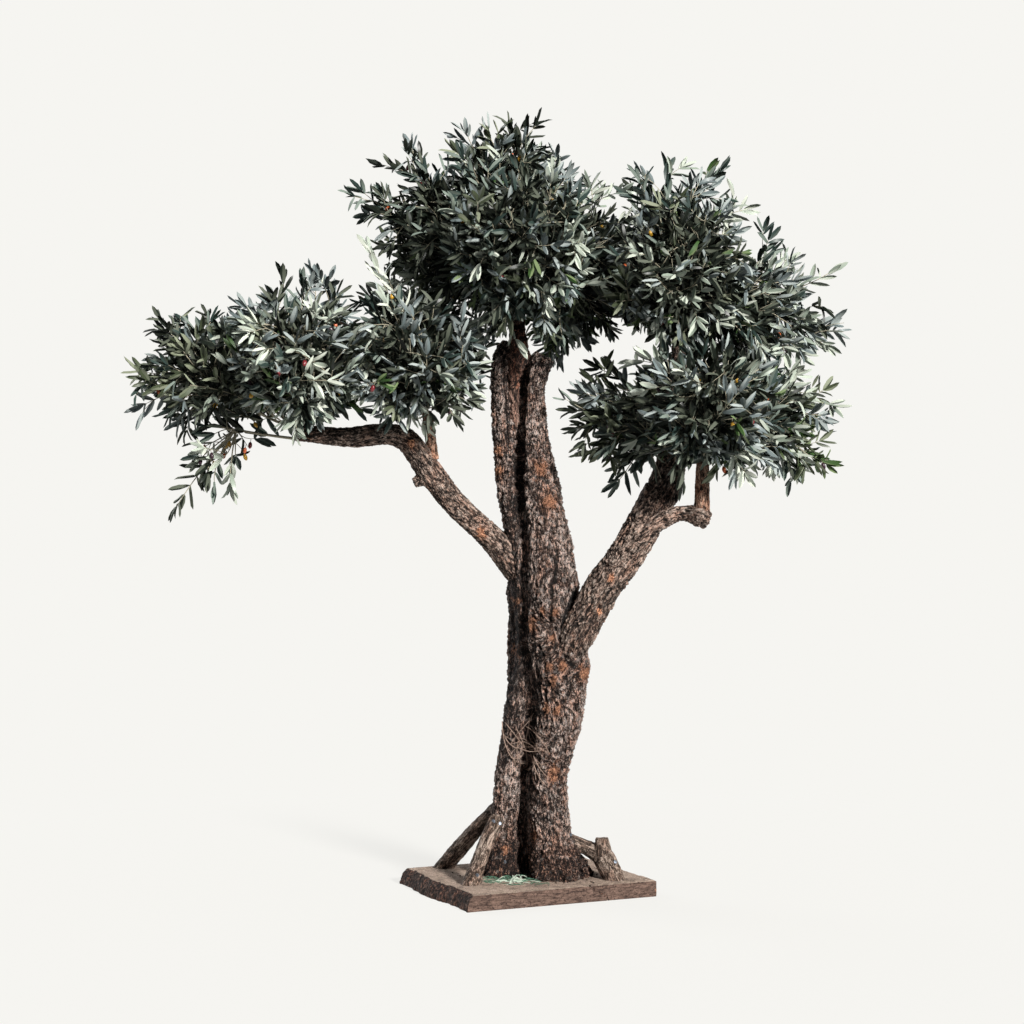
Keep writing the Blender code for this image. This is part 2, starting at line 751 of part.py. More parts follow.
def blade_mesh(name, length, width, thickness, shoulder):
    """A leaf or fruit along +Z from its root: eight faces, widest at its shoulder."""
    bm = bmesh.new()
    bmesh.ops.create_uvsphere(bm, u_segments=4, v_segments=2, radius=1.0)
    for vert in bm.verts:
        x, y, z = vert.co
        if abs(z) > 0.5:
            vert.co = Vector((0, 0, length if z > 0 else 0))
        else:
            vert.co = Vector((x * width / 2, y * thickness / 2, length * shoulder))
    mesh = bpy.data.meshes.new(name)
    bm.to_mesh(mesh)
    bm.free()
    mesh.materials.append(material("foliage"))
    return mesh


def leaf_matrix(root, way, face, size):
    """Where a leaf stands: its root sunk behind the twig's middle, its face turned to a side."""
    across = way.cross(face).normalized()
    normal = across.cross(way).normalized()
    turn = Matrix((across, -normal, way)).transposed().to_4x4()
    return Matrix.Translation(root - way * LEAF_ROOT_SINK) @ turn @ Matrix.Diagonal((size, size, size, 1))


def leaf_points(matrix):
    """Points that show whether a leaf stays in its space."""
    half = LEAF_WIDTH / 2
    shoulder = LEAF_LENGTH * LEAF_SHOULDER
    rows = [
        (0, 0, LEAF_LENGTH), (half, 0, shoulder), (-half, 0, shoulder), (0, 0, shoulder),
        (0, 0, LEAF_LENGTH * 0.7), (0, 0, LEAF_LENGTH * 0.15),
    ]
    return [matrix @ Vector(row) for row in rows]


def keeps_apart(bars, taken, room):
    """Whether bars (start, end) pass every bar taken so far with some room."""
    for start, end in bars:
        middle = (start + end) / 2
        for other_start, other_end in taken:
            if any(distance_to_bar(p, other_start, other_end) < room for p in (start, middle, end)):
                return False
            other_middle = (other_start + other_end) / 2
            if distance_to_bar(other_middle, start, end) < room:
                return False
    return True


class Growth:
    """What has grown in one mass so far: its twigs, its leaves and the bars that they fill."""

    def __init__(self, mass, seed):
        self.mass = mass
        self.rng = random.Random(seed)
        self.twigs = []
        self.leaves = []
        self.olives = []
        self.bars = []

    def has_room(self, points, bars, others, room, skin):
        """Whether a new twig or leaf keeps to the mass's space, off limbs and off its mates."""
        own = is_own(points, self.mass, skin) and is_clear(points, self.mass)
        return own and keeps_apart(bars, others, room)

    def add_twig(self, start, way, length, skin):
        """Adds a twig, if it and at least one leaf of its own have room."""
        rng = self.rng
        side = way.orthogonal().normalized()
        side.rotate(Matrix.Rotation(rng.uniform(0, math.tau), 3, way))
        sag = Vector((0, 0, -TWIG_SAG * length))
        rows = []
        for t, radius in ((0.0, TWIG_ROOT_RADIUS), (0.5, TWIG_RADIUS), (1.0, TWIG_END_RADIUS)):
            bow = side * (TWIG_BOW * length * math.sin(math.pi * t))
            place = start + way * (length * t) + bow + sag * t * t
            rows.append((*place, radius))
        twig = Limb(rows, sides=3, step=ONE_SPAN, gnarl=0.0)
        bar = [(twig.centres[1], twig.centres[2])]
        if not self.has_room(twig.centres[1:], bar, self.bars, TWIG_ROOM, skin):
            return
        others = self.bars
        self.bars = others + bar
        before = len(self.leaves)
        self.add_leaves(twig, length, skin, others)
        if len(self.leaves) == before:
            self.bars = others
            return
        self.twigs.append(twig)

    def add_leaves(self, twig, length, skin, others):
        """Adds the leaves of a twig from its end back: one at the end, then pairs."""
        start, bend, end = twig.centres
        self.try_leaf(end, (end - bend).normalized(), 0.0, self.rng.uniform(0, math.tau), skin, others)
        pairs = min(PAIRS_PER_TWIG, int((length - LEAF_BARE) / LEAF_PITCH))
        roll = self.rng.uniform(0, math.tau)
        for k in range(1, pairs + 1):
            at = 2 * (1 - k * LEAF_PITCH / length)
            place = bend.lerp(end, at - 1) if at > 1 else start.lerp(bend, at)
            ahead = ((end - bend) if at > 1 else (bend - start)).normalized()
            for half in (0, 1):
                turn = roll + k * math.pi / 2 + half * math.pi
                self.try_leaf(place, ahead, LEAF_SPREAD, turn, skin, others)
            if not self.olives:
                self.try_olive(place, ahead, roll + (k + 1) * math.pi / 2)

    def try_leaf(self, place, ahead, spread, turn, skin, others):
        """Adds one leaf where it has room, after a few tries at its angle."""
        rng = self.rng
        for attempt in range(LEAF_TRIES):
            ease = attempt / LEAF_TRIES
            lean = spread + ease * rng.uniform(-0.3, 1.0)
            out = ahead.orthogonal().normalized()
            out.rotate(Matrix.Rotation(turn + ease * rng.uniform(-1.2, 1.2), 3, ahead))
            way = (ahead * math.cos(lean) + out * math.sin(lean)).normalized()
            face = out.cross(ahead) if spread == 0.0 else ahead
            face = (face + Vector((0, 0, LEAF_UPTURN))).normalized()
            size = 1.0 if skin == FREE_SKIN else rng.uniform(0.88, 1.06)
            matrix = leaf_matrix(place, way, face, size)
            points = leaf_points(matrix)
            bar = [(points[-1], points[0])]
            if self.has_room(points, bar, others, LEAF_ROOM, skin):
                self.leaves.append(matrix)
                self.bars += bar
                others += bar
                return


    def try_olive(self, place, ahead, turn):
        """Hangs an olive from a twig where it touches nothing else."""
        out = ahead.orthogonal().normalized()
        out.rotate(Matrix.Rotation(turn, 3, ahead))
        way = (out + Vector((0, 0, -OLIVE_HANG))).normalized()
        tip = place + way * OLIVE_LENGTH
        bar = [(place + way * (OLIVE_LENGTH / 2), tip)]
        if self.has_room([tip], bar, self.bars, OLIVE_WIDTH, SKIN):
            self.olives.append(leaf_matrix(place, way, ahead, 1.0))
            self.bars += bar


def reach(mass, start, way):
    """How far a twig can go from start before it leaves the mass's space."""
    far = 0.0
    while far < LONGEST_REACH and is_own([start + way * (far + REACH_STEP)], mass, 1.0):
        far += REACH_STEP
    return far


def grow_mass(mass, seed):
    """Grows the twigs and leaves of one mass on its stem."""
    growth = Growth(mass, seed)
    stem = mass.stem
    for tip in mass.tips:
        shares = [1 - k * TIP_TWIG_STEP for k in range(1, TIP_TWIG_TRIES + 1)]
        far = LEAF_LENGTH + LEAF_PITCH
        share = next((t for t in shares if (tip - stem.at(t)).length > far), shares[-1])
        away = tip - stem.at(share)
        away.z += TWIG_SAG * away.length
        growth.add_twig(stem.at(share), away.normalized(), away.length - LEAF_LENGTH, FREE_SKIN)
    onward = stem.frames[-1][2]
    ways = list(even_directions(TWIG_WAYS, growth.rng.uniform(0, math.tau)))
    growth.rng.shuffle(ways)
    for way in ways:
        start = stem.at(FIRST_TWIG + (1 - FIRST_TWIG) * (1 + way.dot(onward)) / 2)
        length = reach(mass, start, way) - LEAF_LENGTH * TWIG_STOP
        if len(growth.twigs) < TWIGS_PER_MASS and length > TWIG_SHORTEST:
            growth.add_twig(start, way, length, SKIN)
    return growth


def make_foliage(name, mass, leaf, olive, seed):
    """One mass: its stem, its twigs and their leaves, fused."""
    growth = grow_mass(mass, seed)
    body = add_object(name, mass.stem.mesh(), "foliage")
    parts = [add_object("twig", twig.mesh(), "foliage") for twig in growth.twigs]
    for mesh, places in ((leaf, growth.leaves), (olive, growth.olives)):
        for matrix in places:
            part = bpy.data.objects.new(mesh.name, mesh)
            part.matrix_world = matrix
            bpy.context.scene.collection.objects.link(part)
            parts.append(part)
    combine(body, parts, "UNION", "MANIFOLD")
    return keep_largest(body)


def main():
    for old in list(bpy.data.objects):
        bpy.data.objects.remove(old)
    make_plank()
    make_trunk("trunk")
    make_boughs()
    make_braces()
    make_dry_twigs()
    wire_stems()
    leaf = blade_mesh("leaf", LEAF_LENGTH, LEAF_WIDTH, LEAF_THICKNESS, LEAF_SHOULDER)
    olive = blade_mesh("olive", OLIVE_LENGTH, OLIVE_WIDTH, OLIVE_WIDTH, OLIVE_SHOULDER)
    for seed, (name, mass) in enumerate(MASSES.items(), start=FIRST_SEED):
        make_foliage(name, mass, leaf, olive, seed)


main()
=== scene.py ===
"""Artificial olive tree on a waney plank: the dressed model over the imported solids.

Metres, +Z up. The origin is the middle of the plank's flat underside, and the front faces -Y.
Only the limbs' knots and the crown's masses are given in millimetres. The limbs repeat the
solids' knots, so bark, boughs and crown stand exactly where the solids do.
"""

import logging
import math
from dataclasses import dataclass, field
from enum import Enum
from functools import cache
from itertools import product

import bmesh
import bpy
import numpy as np
from mathutils import Matrix, Vector


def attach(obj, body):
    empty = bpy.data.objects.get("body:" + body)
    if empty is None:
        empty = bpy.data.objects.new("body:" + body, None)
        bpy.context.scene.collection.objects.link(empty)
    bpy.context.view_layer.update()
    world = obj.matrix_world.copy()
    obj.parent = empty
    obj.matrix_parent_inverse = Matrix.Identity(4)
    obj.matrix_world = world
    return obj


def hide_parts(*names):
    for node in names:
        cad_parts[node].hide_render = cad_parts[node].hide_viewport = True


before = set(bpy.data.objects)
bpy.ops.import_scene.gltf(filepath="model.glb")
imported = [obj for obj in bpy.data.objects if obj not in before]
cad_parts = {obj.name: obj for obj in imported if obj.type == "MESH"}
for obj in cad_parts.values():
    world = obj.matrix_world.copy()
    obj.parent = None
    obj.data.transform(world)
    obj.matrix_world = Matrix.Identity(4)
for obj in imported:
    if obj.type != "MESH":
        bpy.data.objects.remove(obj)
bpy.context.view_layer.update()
LOG = logging.getLogger("olive_tree")

Knot = tuple[float, float, float, float]  # x, y, z and radius, in millimetres
Point = tuple[float, float, float]
Colour = tuple[float, float, float]
Array = np.ndarray
Piece = bpy.types.Object
Material = bpy.types.Material
Node = bpy.types.Node
NodeTree = bpy.types.NodeTree
Socket = bpy.types.NodeSocket

MM = 1000.0  # millimetres in a metre
PLANK_TOP = 0.04
UP = np.array((0.0, 0.0, 1.0))


class Slot(Enum):
    """The record's material slots."""

    BARK = "bark"
    STICK = "stick"
    PLANK = "plank"
    FOLIAGE = "foliage"
    DRY_TWIG = "dry_twig"


# ---- tools ----


def deselect() -> None:
    """Leaves edit mode and deselects every object."""
    if bpy.context.mode != "OBJECT":
        bpy.ops.object.mode_set(mode="OBJECT")
    bpy.ops.object.select_all(action="DESELECT")


def pick(piece: Piece, *others: Piece) -> None:
    """Selects objects and makes the first of them active.

    Args:
        piece: The object that becomes active.
        others: Further objects to select.
    """
    deselect()
    for each in (piece, *others):
        each.select_set(True)
    bpy.context.view_layer.objects.active = piece


def fuse(parts: list[Piece]) -> Piece:
    """Joins objects into the first of them.

    Args:
        parts: The objects, of which the first one stays.

    Returns:
        The joined object.
    """
    pick(*parts)
    if len(parts) > 1:
        bpy.ops.object.join()
    return bpy.context.object


def finish_with(piece: Piece, kind: str, **settings: object) -> None:
    """Adds one modifier and applies it.

    Args:
        piece: The object that is changed.
        kind: Blender's name of the modifier.
        settings: Its settings.
    """
    pick(piece)
    modifier = piece.modifiers.new(kind.lower(), kind)
    for name, value in settings.items():
        setattr(modifier, name, value)
    bpy.ops.object.modifier_apply(modifier=modifier.name)


def cut_level(piece: Piece, height: float) -> None:
    """Cuts a piece off level, drops what is below and closes the cut.

    Args:
        piece: The object that is cut.
        height: Where the level cut is.
    """
    pick(piece)
    bpy.ops.object.mode_set(mode="EDIT")
    bpy.ops.mesh.select_all(action="SELECT")
    bpy.ops.mesh.bisect(plane_co=(0, 0, height), plane_no=(0, 0, 1), use_fill=True, clear_inner=True)
    bpy.ops.object.mode_set(mode="OBJECT")


def points_and_normals(piece: Piece) -> tuple[Array, Array]:
    """Reads a mesh's points and their normals as rows of x, y and z."""
    found = np.empty((2, len(piece.data.vertices) * 3))
    piece.data.vertices.foreach_get("co", found[0])
    piece.data.vertex_normals.foreach_get("vector", found[1])
    return found[0].reshape(-1, 3), found[1].reshape(-1, 3)


def reshape(piece: Piece, points: Array) -> None:
    """Moves a mesh's points to new places, one row for each."""
    piece.data.vertices.foreach_set("co", points.ravel())
    piece.data.update()


def mark(piece: Piece, name: str, values: Array) -> None:
    """Stores one number, or one vector, for each point of a mesh.

    Args:
        piece: The object whose mesh gets the attribute.
        name: The attribute's name, which materials read.
        values: A row or a number for each point.
    """
    if values.ndim == 1:
        layer = piece.data.attributes.new(name, "FLOAT", "POINT")
        layer.data.foreach_set("value", values.astype(np.float32))
    else:
        layer = piece.data.attributes.new(name, "FLOAT_VECTOR", "POINT")
        layer.data.foreach_set("vector", values.astype(np.float32).ravel())


def dress(piece: Piece, name: str, finishes: list[Material], nodes: list[str]) -> None:
    """Names a finished piece, gives it its materials and ties it to the frame.

    Args:
        piece: The finished object.
        name: Its plain name.
        finishes: Its materials, as its faces number them.
        nodes: The solids that it stands for.
    """
    piece.name = name
    piece.data.name = name
    numbers = np.empty(len(piece.data.polygons), dtype=np.int32)
    piece.data.polygons.foreach_get("material_index", numbers)
    piece.data.materials.clear()
    for finish in finishes:
        piece.data.materials.append(finish)
    piece.data.polygons.foreach_set("material_index", numbers)
    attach(piece, "root")
    if nodes:
        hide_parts(*nodes)
    piece.data.calc_loop_triangles()
    LOG.info("%s: %d triangles", name, len(piece.data.loop_triangles))


def smooth_step(low: float, high: float, values: Array) -> Array:
    """Rises smoothly from 0 at low to 1 at high."""
    share = np.clip((values - low) / (high - low), 0.0, 1.0)
    return share * share * (3 - 2 * share)


def bell(gap: Array, width: float | Array) -> Array:
    """Falls smoothly from 1 at no distance to almost 0 at twice the width."""
    return np.exp(-((gap / width) ** 2))


def unit(rows: Array) -> Array:
    """Scales each row to length one."""
    return rows / np.maximum(np.linalg.norm(rows, axis=-1, keepdims=True), 1e-9)


class Noise:
    """Seeded noise, worked out for many points at once."""

    TABLE = 4096
    PRIMES = (73856093, 19349663, 83492791, 2654435761)  # they scatter neighbouring corners

    def __init__(self, seed: int) -> None:
        """Deals out the directions and numbers of each cell corner.

        Args:
            seed: Where the random numbers start.
        """
        dice = np.random.default_rng(seed)
        self.directions = unit(dice.normal(size=(self.TABLE, 3)))
        self.numbers = dice.random((self.TABLE, 3))
        self.seed = seed

    def _place(self, corners: Array) -> Array:
        """Gives each whole-numbered corner its row in the tables."""
        x, y, z = (corners.astype(np.int64) * self.PRIMES[:3]).T
        mixed = x ^ y ^ z ^ self.seed * self.PRIMES[3]
        return (mixed ^ (mixed >> 13)) % self.TABLE

    def smooth(self, points: Array) -> Array:
        """Smooth noise from about -1 to 1.

        Args:
            points: Rows of x, y and z, in units of one noise cell.

        Returns:
            One number for each row.
        """
        floor = np.floor(points)
        part = points - floor
        fade = part * part * part * (part * (part * 6 - 15) + 10)
        total = np.zeros(len(points))
        for corner in map(np.array, product((0, 1), repeat=3)):
            slope = self.directions[self._place(floor + corner)]
            value = np.einsum("ij,ij->i", slope, part - corner)
            weight = np.abs(1 - corner - fade)
            total += value * weight[:, 0] * weight[:, 1] * weight[:, 2]
        return total * 1.6

    def layered(self, points: Array, layers: int, fall: float = 0.5) -> Array:
        """Adds several layers of smooth noise, each twice as fine.

        Args:
            points: Rows of x, y and z, in units of the coarsest cell.
            layers: How many layers there are.
            fall: Each layer's strength as a share of the one before.

        Returns:
            One number for each row.
        """
        total = np.zeros(len(points))
        strength = 1.0
        for layer in range(layers):
            total += strength * self.smooth(points * 2.0**layer + 17.3 * layer)
            strength *= fall
        return total

    def cells(self, points: Array) -> tuple[Array, Array]:
        """Irregular cells, for plates of bark.

        Args:
            points: Rows of x, y and z, in units of one cell.

        Returns:
            Each point's distance from its cell's rim, and its cell's number from 0 to 1.
        """
        floor = np.floor(points)
        first = np.full(len(points), 9.0)
        second = np.full(len(points), 9.0)
        number = np.zeros(len(points))
        for step in product((-1, 0, 1), repeat=3):
            row = self._place(floor + step)
            away = np.linalg.norm(floor + step + self.numbers[row] - points, axis=1)
            nearer = away < first
            second = np.where(nearer, first, np.minimum(second, away))
            number = np.where(nearer, self.numbers[row, 0], number)
            first = np.where(nearer, away, first)
        return second - first, number


# ---- limbs ----


def extruded(rings: list[Array]) -> Piece:
    """Models a closed body: an end face, extruded from ring to ring.

    Args:
        rings: The corners of each ring, all in the same order.

    Returns:
        The body.
    """
    deselect()
    bpy.ops.mesh.primitive_circle_add(vertices=len(rings[0]), radius=1.0, fill_type="NGON")
    body = bpy.context.object
    bpy.ops.object.mode_set(mode="EDIT")
    work = bmesh.from_edit_mesh(body.data)
    order = work.verts.layers.int.new("order")
    for number, vert in enumerate(work.verts):
        vert[order] = number
    for number, corners in enumerate(rings):
        if number:
            bpy.ops.mesh.extrude_region_move()
        work = bmesh.from_edit_mesh(body.data)
        order = work.verts.layers.int["order"]
        for vert in work.verts:
            if vert.select:
                vert.co = corners[vert[order]]
        bmesh.update_edit_mesh(body.data)
    bpy.ops.mesh.select_all(action="SELECT")
    bpy.ops.mesh.normals_make_consistent(inside=False)
    bpy.ops.object.mode_set(mode="OBJECT")
    return body


@dataclass
class Limb:
    """A round tapering limb through a few knots, with an uneven section."""

    knots: list[Knot]
    sides: int = 20
    step: float = 0.02
    gnarl: float = 0.05
    phase: float = 0.0
    depth: float = 1.0
    pace: float = 0.07  # how far apart the unevenness turns
    centres: Array = field(init=False)
    radii: Array = field(init=False)
    rights: Array = field(init=False)
    ups: Array = field(init=False)
    alongs: Array = field(init=False)
    lengths: Array = field(init=False)

    def __post_init__(self) -> None:
        """Works out the rings from the knots."""
        rows = self._curve()
        self.centres = rows[:, :3]
        self.radii = rows[:, 3]
        ahead = np.gradient(self.centres, axis=0)
        self.alongs = unit(ahead)
        self._carry_sides()
        gaps = np.linalg.norm(np.diff(self.centres, axis=0), axis=1)
        self.lengths = np.concatenate(([0.0], np.cumsum(gaps)))

    def _curve(self) -> Array:
        """Points and radii on a smooth curve through the knots, about one step apart."""
        rows = np.array(self.knots) / MM
        ends = np.vstack((2 * rows[0] - rows[1], rows, 2 * rows[-1] - rows[-2]))
        found = []
        for before, start, end, after in zip(ends, ends[1:], ends[2:], ends[3:]):
            count = max(1, round(float(np.linalg.norm((end - start)[:3])) / self.step))
            for i in range(count):
                t = i / count
                point = 2 * start + (end - before) * t
                point = point + (2 * before - 5 * start + 4 * end - after) * t * t
                point = point + (3 * start - before - 3 * end + after) * t * t * t
                found.append(point / 2)
        found.append(rows[-1])
        return np.array(found)

    def _carry_sides(self) -> None:
        """Carries a side direction along the limb with no twist."""
        side = np.array((1.0, 0.0, 0.0))
        if abs(self.alongs[0][0]) > 0.9:
            side = np.array((0.0, 1.0, 0.0))
        rights = []
        for along in self.alongs:
            side = unit(side - along * side.dot(along))
            rights.append(side)
        self.rights = np.array(rights)
        self.ups = np.cross(self.alongs, self.rights)

    def section(self, ring: int) -> Array:
        """The corners of one ring, in order round the limb."""
        turn = np.arange(self.sides) * (math.tau / self.sides)
        drift = self.lengths[ring] / self.pace
        bumps = np.sin(2 * turn + self.phase + 0.9 * drift)
        bumps = bumps + 0.7 * np.sin(3 * turn - 1.7 * self.phase - 0.6 * drift)
        radius = (self.radii[ring] * (1 + self.gnarl * bumps))[:, None]
        wide = self.rights[ring] * np.cos(turn)[:, None] * radius
        deep = self.ups[ring] * np.sin(turn)[:, None] * radius * self.depth
        return self.centres[ring] + wide + deep

    def model(self) -> Piece:
        """Models the limb, closed at both ends."""
        return extruded([self.section(ring) for ring in range(len(self.centres))])

    def nearest(self, points: Array) -> tuple[Array, Array]:
        """Where points lie beside the limb.

        Args:
            points: Rows of x, y and z.

        Returns:
            The number of each point's nearest ring, and its distance in radii.
        """
        ring = np.empty(len(points), dtype=np.int64)
        gap = np.empty(len(points))
        for first in range(0, len(points), 8192):
            part = slice(first, first + 8192)
            away = np.linalg.norm(points[part, None] - self.centres[None], axis=2)
            ring[part] = away.argmin(axis=1)
            gap[part] = away.min(axis=1)
        return ring, gap / self.radii[ring]


def grain_of(points: Array, limbs: list[Limb]) -> tuple[Array, Array]:
    """Unrolls points along their limbs, so that the bark follows each limb.

    Args:
        points: Rows of x, y and z.
        limbs: The limbs of the piece.

    Returns:
        Rows of (across, across, along), and the radius of the limb at each point.
    """
    best = np.full(len(points), np.inf)
    grain = np.zeros((len(points), 3))
    radius = np.full(len(points), 0.02)
    for number, limb in enumerate(limbs):
        ring, share = limb.nearest(points)
        closer = share < best
        away = points - limb.centres[ring]
        run = limb.lengths[ring] + np.einsum("ij,ij->i", away, limb.alongs[ring])
        wide = np.einsum("ij,ij->i", away, limb.rights[ring])
        deep = np.einsum("ij,ij->i", away, limb.ups[ring])
        rows = np.stack((wide + 3.1 * number, deep, run), axis=1)
        grain[closer] = rows[closer]
        radius[closer] = limb.radii[ring][closer]
        best = np.minimum(best, share)
    return grain, radius


# ---- finishes ----


class NodeBoard:
    """Adds and links the nodes of one material or shared group."""

    def __init__(self, tree: NodeTree) -> None:
        """Takes the tree that nodes are added to."""
        self.tree = tree

    def add(self, kind: str, inputs: dict | None = None, **settings: object) -> Node:
        """Adds one node.

        Args:
            kind: Blender's name of the node, without the leading ShaderNode.
            inputs: Values or sockets for its inputs, by name or number.
            settings: Its settings.

        Returns:
            The node.
        """
        node = self.tree.nodes.new("ShaderNode" + kind)
        for name, value in settings.items():
            setattr(node, name, value)
        for name, value in (inputs or {}).items():
            self.feed(node.inputs[name], value)
        return node

    def feed(self, socket: Socket, value: object) -> None:
        """Links or sets one input."""
        if isinstance(value, Socket):
            self.tree.links.new(value, socket)
        else:
            socket.default_value = value

    def shared(self, group: NodeTree, **inputs: object) -> Node:
        """Places a shared group and sets its inputs."""
        return self.add("Group", inputs, node_tree=group)

    def surface(self, inputs: dict[str, object]) -> None:
        """Links or sets inputs of the material's shader, by name."""
        for name, value in inputs.items():
            self.feed(self.tree.nodes["Principled BSDF"].inputs[name], value)

    def reckon(self, task: str, *values: object, clamp: bool = False) -> Socket:
        """Adds a Math node and gives its result."""
        node = self.add("Math", dict(enumerate(values)), operation=task, use_clamp=clamp)
        return node.outputs[0]

    def spread(
        self, value: object, low: object, high: object, start: float = 0.0, end: float = 1.0
    ) -> Socket:
        """Maps values from low to high onto start to end, and stops at both."""
        return self.add("MapRange", {0: value, 1: low, 2: high, 3: start, 4: end}).outputs[0]

    def blend(self, share: object, low: object, high: object, way: str = "MIX") -> Socket:
        """Mixes two colours.

        Args:
            share: How much of the second colour there is.
            low: The first colour.
            high: The second colour.
            way: How they are mixed.

        Returns:
            The mixed colour.
        """
        node = self.add("Mix", data_type="RGBA", blend_type=way, clamp_factor=True)
        self.feed(node.inputs[0], share)
        for number, value in ((6, low), (7, high)):
            self.feed(node.inputs[number], (*value, 1.0) if isinstance(value, tuple) else value)
        return node.outputs[2]

    def ramp(self, value: object, stops: list[tuple[float, Colour]]) -> Socket:
        """Colours a value.

        Args:
            value: The socket that is coloured.
            stops: Places from 0 to 1, each with its colour.

        Returns:
            The colour.
        """
        node = self.add("ValToRGB", {0: value})
        band = node.color_ramp
        while len(band.elements) < len(stops):
            band.elements.new(0.5)
        for element, (place, colour) in zip(band.elements, stops):
            element.position = place
            element.color = (*colour, 1.0)
        return node.outputs[0]


def shared_group(name: str, takes: dict[str, object], gives: list[str]) -> NodeTree:
    """Starts a shared node group with its sockets.

    Args:
        name: The group's name.
        takes: Its inputs, each with the number that it starts from, or Vector.
        gives: The names of the numbers that it puts out.

    Returns:
        The group, with its two end nodes.
    """
    group = bpy.data.node_groups.new(name, "ShaderNodeTree")
    for socket, value in takes.items():
        kind = "NodeSocketVector" if value is Vector else "NodeSocketFloat"
        made = group.interface.new_socket(socket, in_out="INPUT", socket_type=kind)
        if value is not Vector:
            made.default_value = value
    for socket in gives:
        group.interface.new_socket(socket, in_out="OUTPUT", socket_type="NodeSocketFloat")
    group.nodes.new("NodeGroupInput").name = "takes"
    group.nodes.new("NodeGroupOutput").name = "gives"
    return group


@cache
def fibre_group() -> NodeTree:
    """Fine fissures and flakes drawn out along a limb: a height and a tone."""
    takes = {"Vector": Vector, "Size": 0.006, "Stretch": 4.0, "Wander": 0.5}
    group = shared_group("wood fibre", takes, ["Height", "Tone"])
    board = NodeBoard(group)
    takes = group.nodes["takes"].outputs
    finer = board.reckon("DIVIDE", 1.0, takes["Size"])
    drawn = board.reckon("DIVIDE", finer, takes["Stretch"])
    scale = board.add("CombineXYZ", {0: finer, 1: finer, 2: drawn}).outputs[0]
    place = board.add("VectorMath", {0: takes["Vector"], 1: scale}, operation="MULTIPLY").outputs[0]
    wander = board.add("TexNoise", {"Vector": place, "Scale": 0.45, "Detail": 2.0}).outputs["Color"]
    push = board.add("VectorMath", {0: wander, "Scale": takes["Wander"]}, operation="SCALE")
    moved = board.add("VectorMath", {0: place, 1: push.outputs[0]}, operation="ADD").outputs[0]
    inputs = {"Vector": moved, "Scale": 1.0, "Detail": 6.0, "Roughness": 0.68}
    coarse = board.add("TexNoise", inputs).outputs[0]
    inputs = {"Vector": moved, "Scale": 0.62, "Detail": 2.0, "Roughness": 0.55}
    winding = board.add("TexNoise", inputs).outputs[0]
    side = board.reckon("ABSOLUTE", board.reckon("SUBTRACT", winding, 0.5))
    open_rim = board.spread(side, 0.0, 0.055)
    sharp = board.reckon("MULTIPLY_ADD", coarse, 3.2, -1.25)
    height = board.reckon("MULTIPLY_ADD", open_rim, 0.4, sharp)
    gives = group.nodes["gives"].inputs
    group.links.new(height, gives["Height"])
    group.links.new(board.reckon("SUBTRACT", height, 0.66), gives["Tone"])
    return group


@cache
def speckle_group() -> NodeTree:
    """Scattered blotches with ragged rims: a mask from 0 to 1."""
    takes = {"Vector": Vector, "Size": 0.02, "Cover": 0.4, "Rim": 0.08}
    group = shared_group("ragged blotches", takes, ["Mask"])
    board = NodeBoard(group)
    takes = group.nodes["takes"].outputs
    finer = board.reckon("DIVIDE", 1.0, takes["Size"])
    inputs = {"Vector": takes["Vector"], "Scale": finer, "Detail": 4.0, "Roughness": 0.6}
    noise = board.add("TexNoise", inputs).outputs[0]
    low = board.reckon("SUBTRACT", 0.75, board.reckon("MULTIPLY", takes["Cover"], 0.5))
    high = board.reckon("ADD", low, takes["Rim"])
    mask = board.spread(noise, low, high)
    group.links.new(mask, group.nodes["gives"].inputs["Mask"])
    return group


def new_material(name: str) -> tuple[Material, NodeBoard]:
    """Starts a material and gives it with its board."""
    made = bpy.data.materials.new(name)
    made.use_nodes = True
    return made, NodeBoard(made.node_tree)


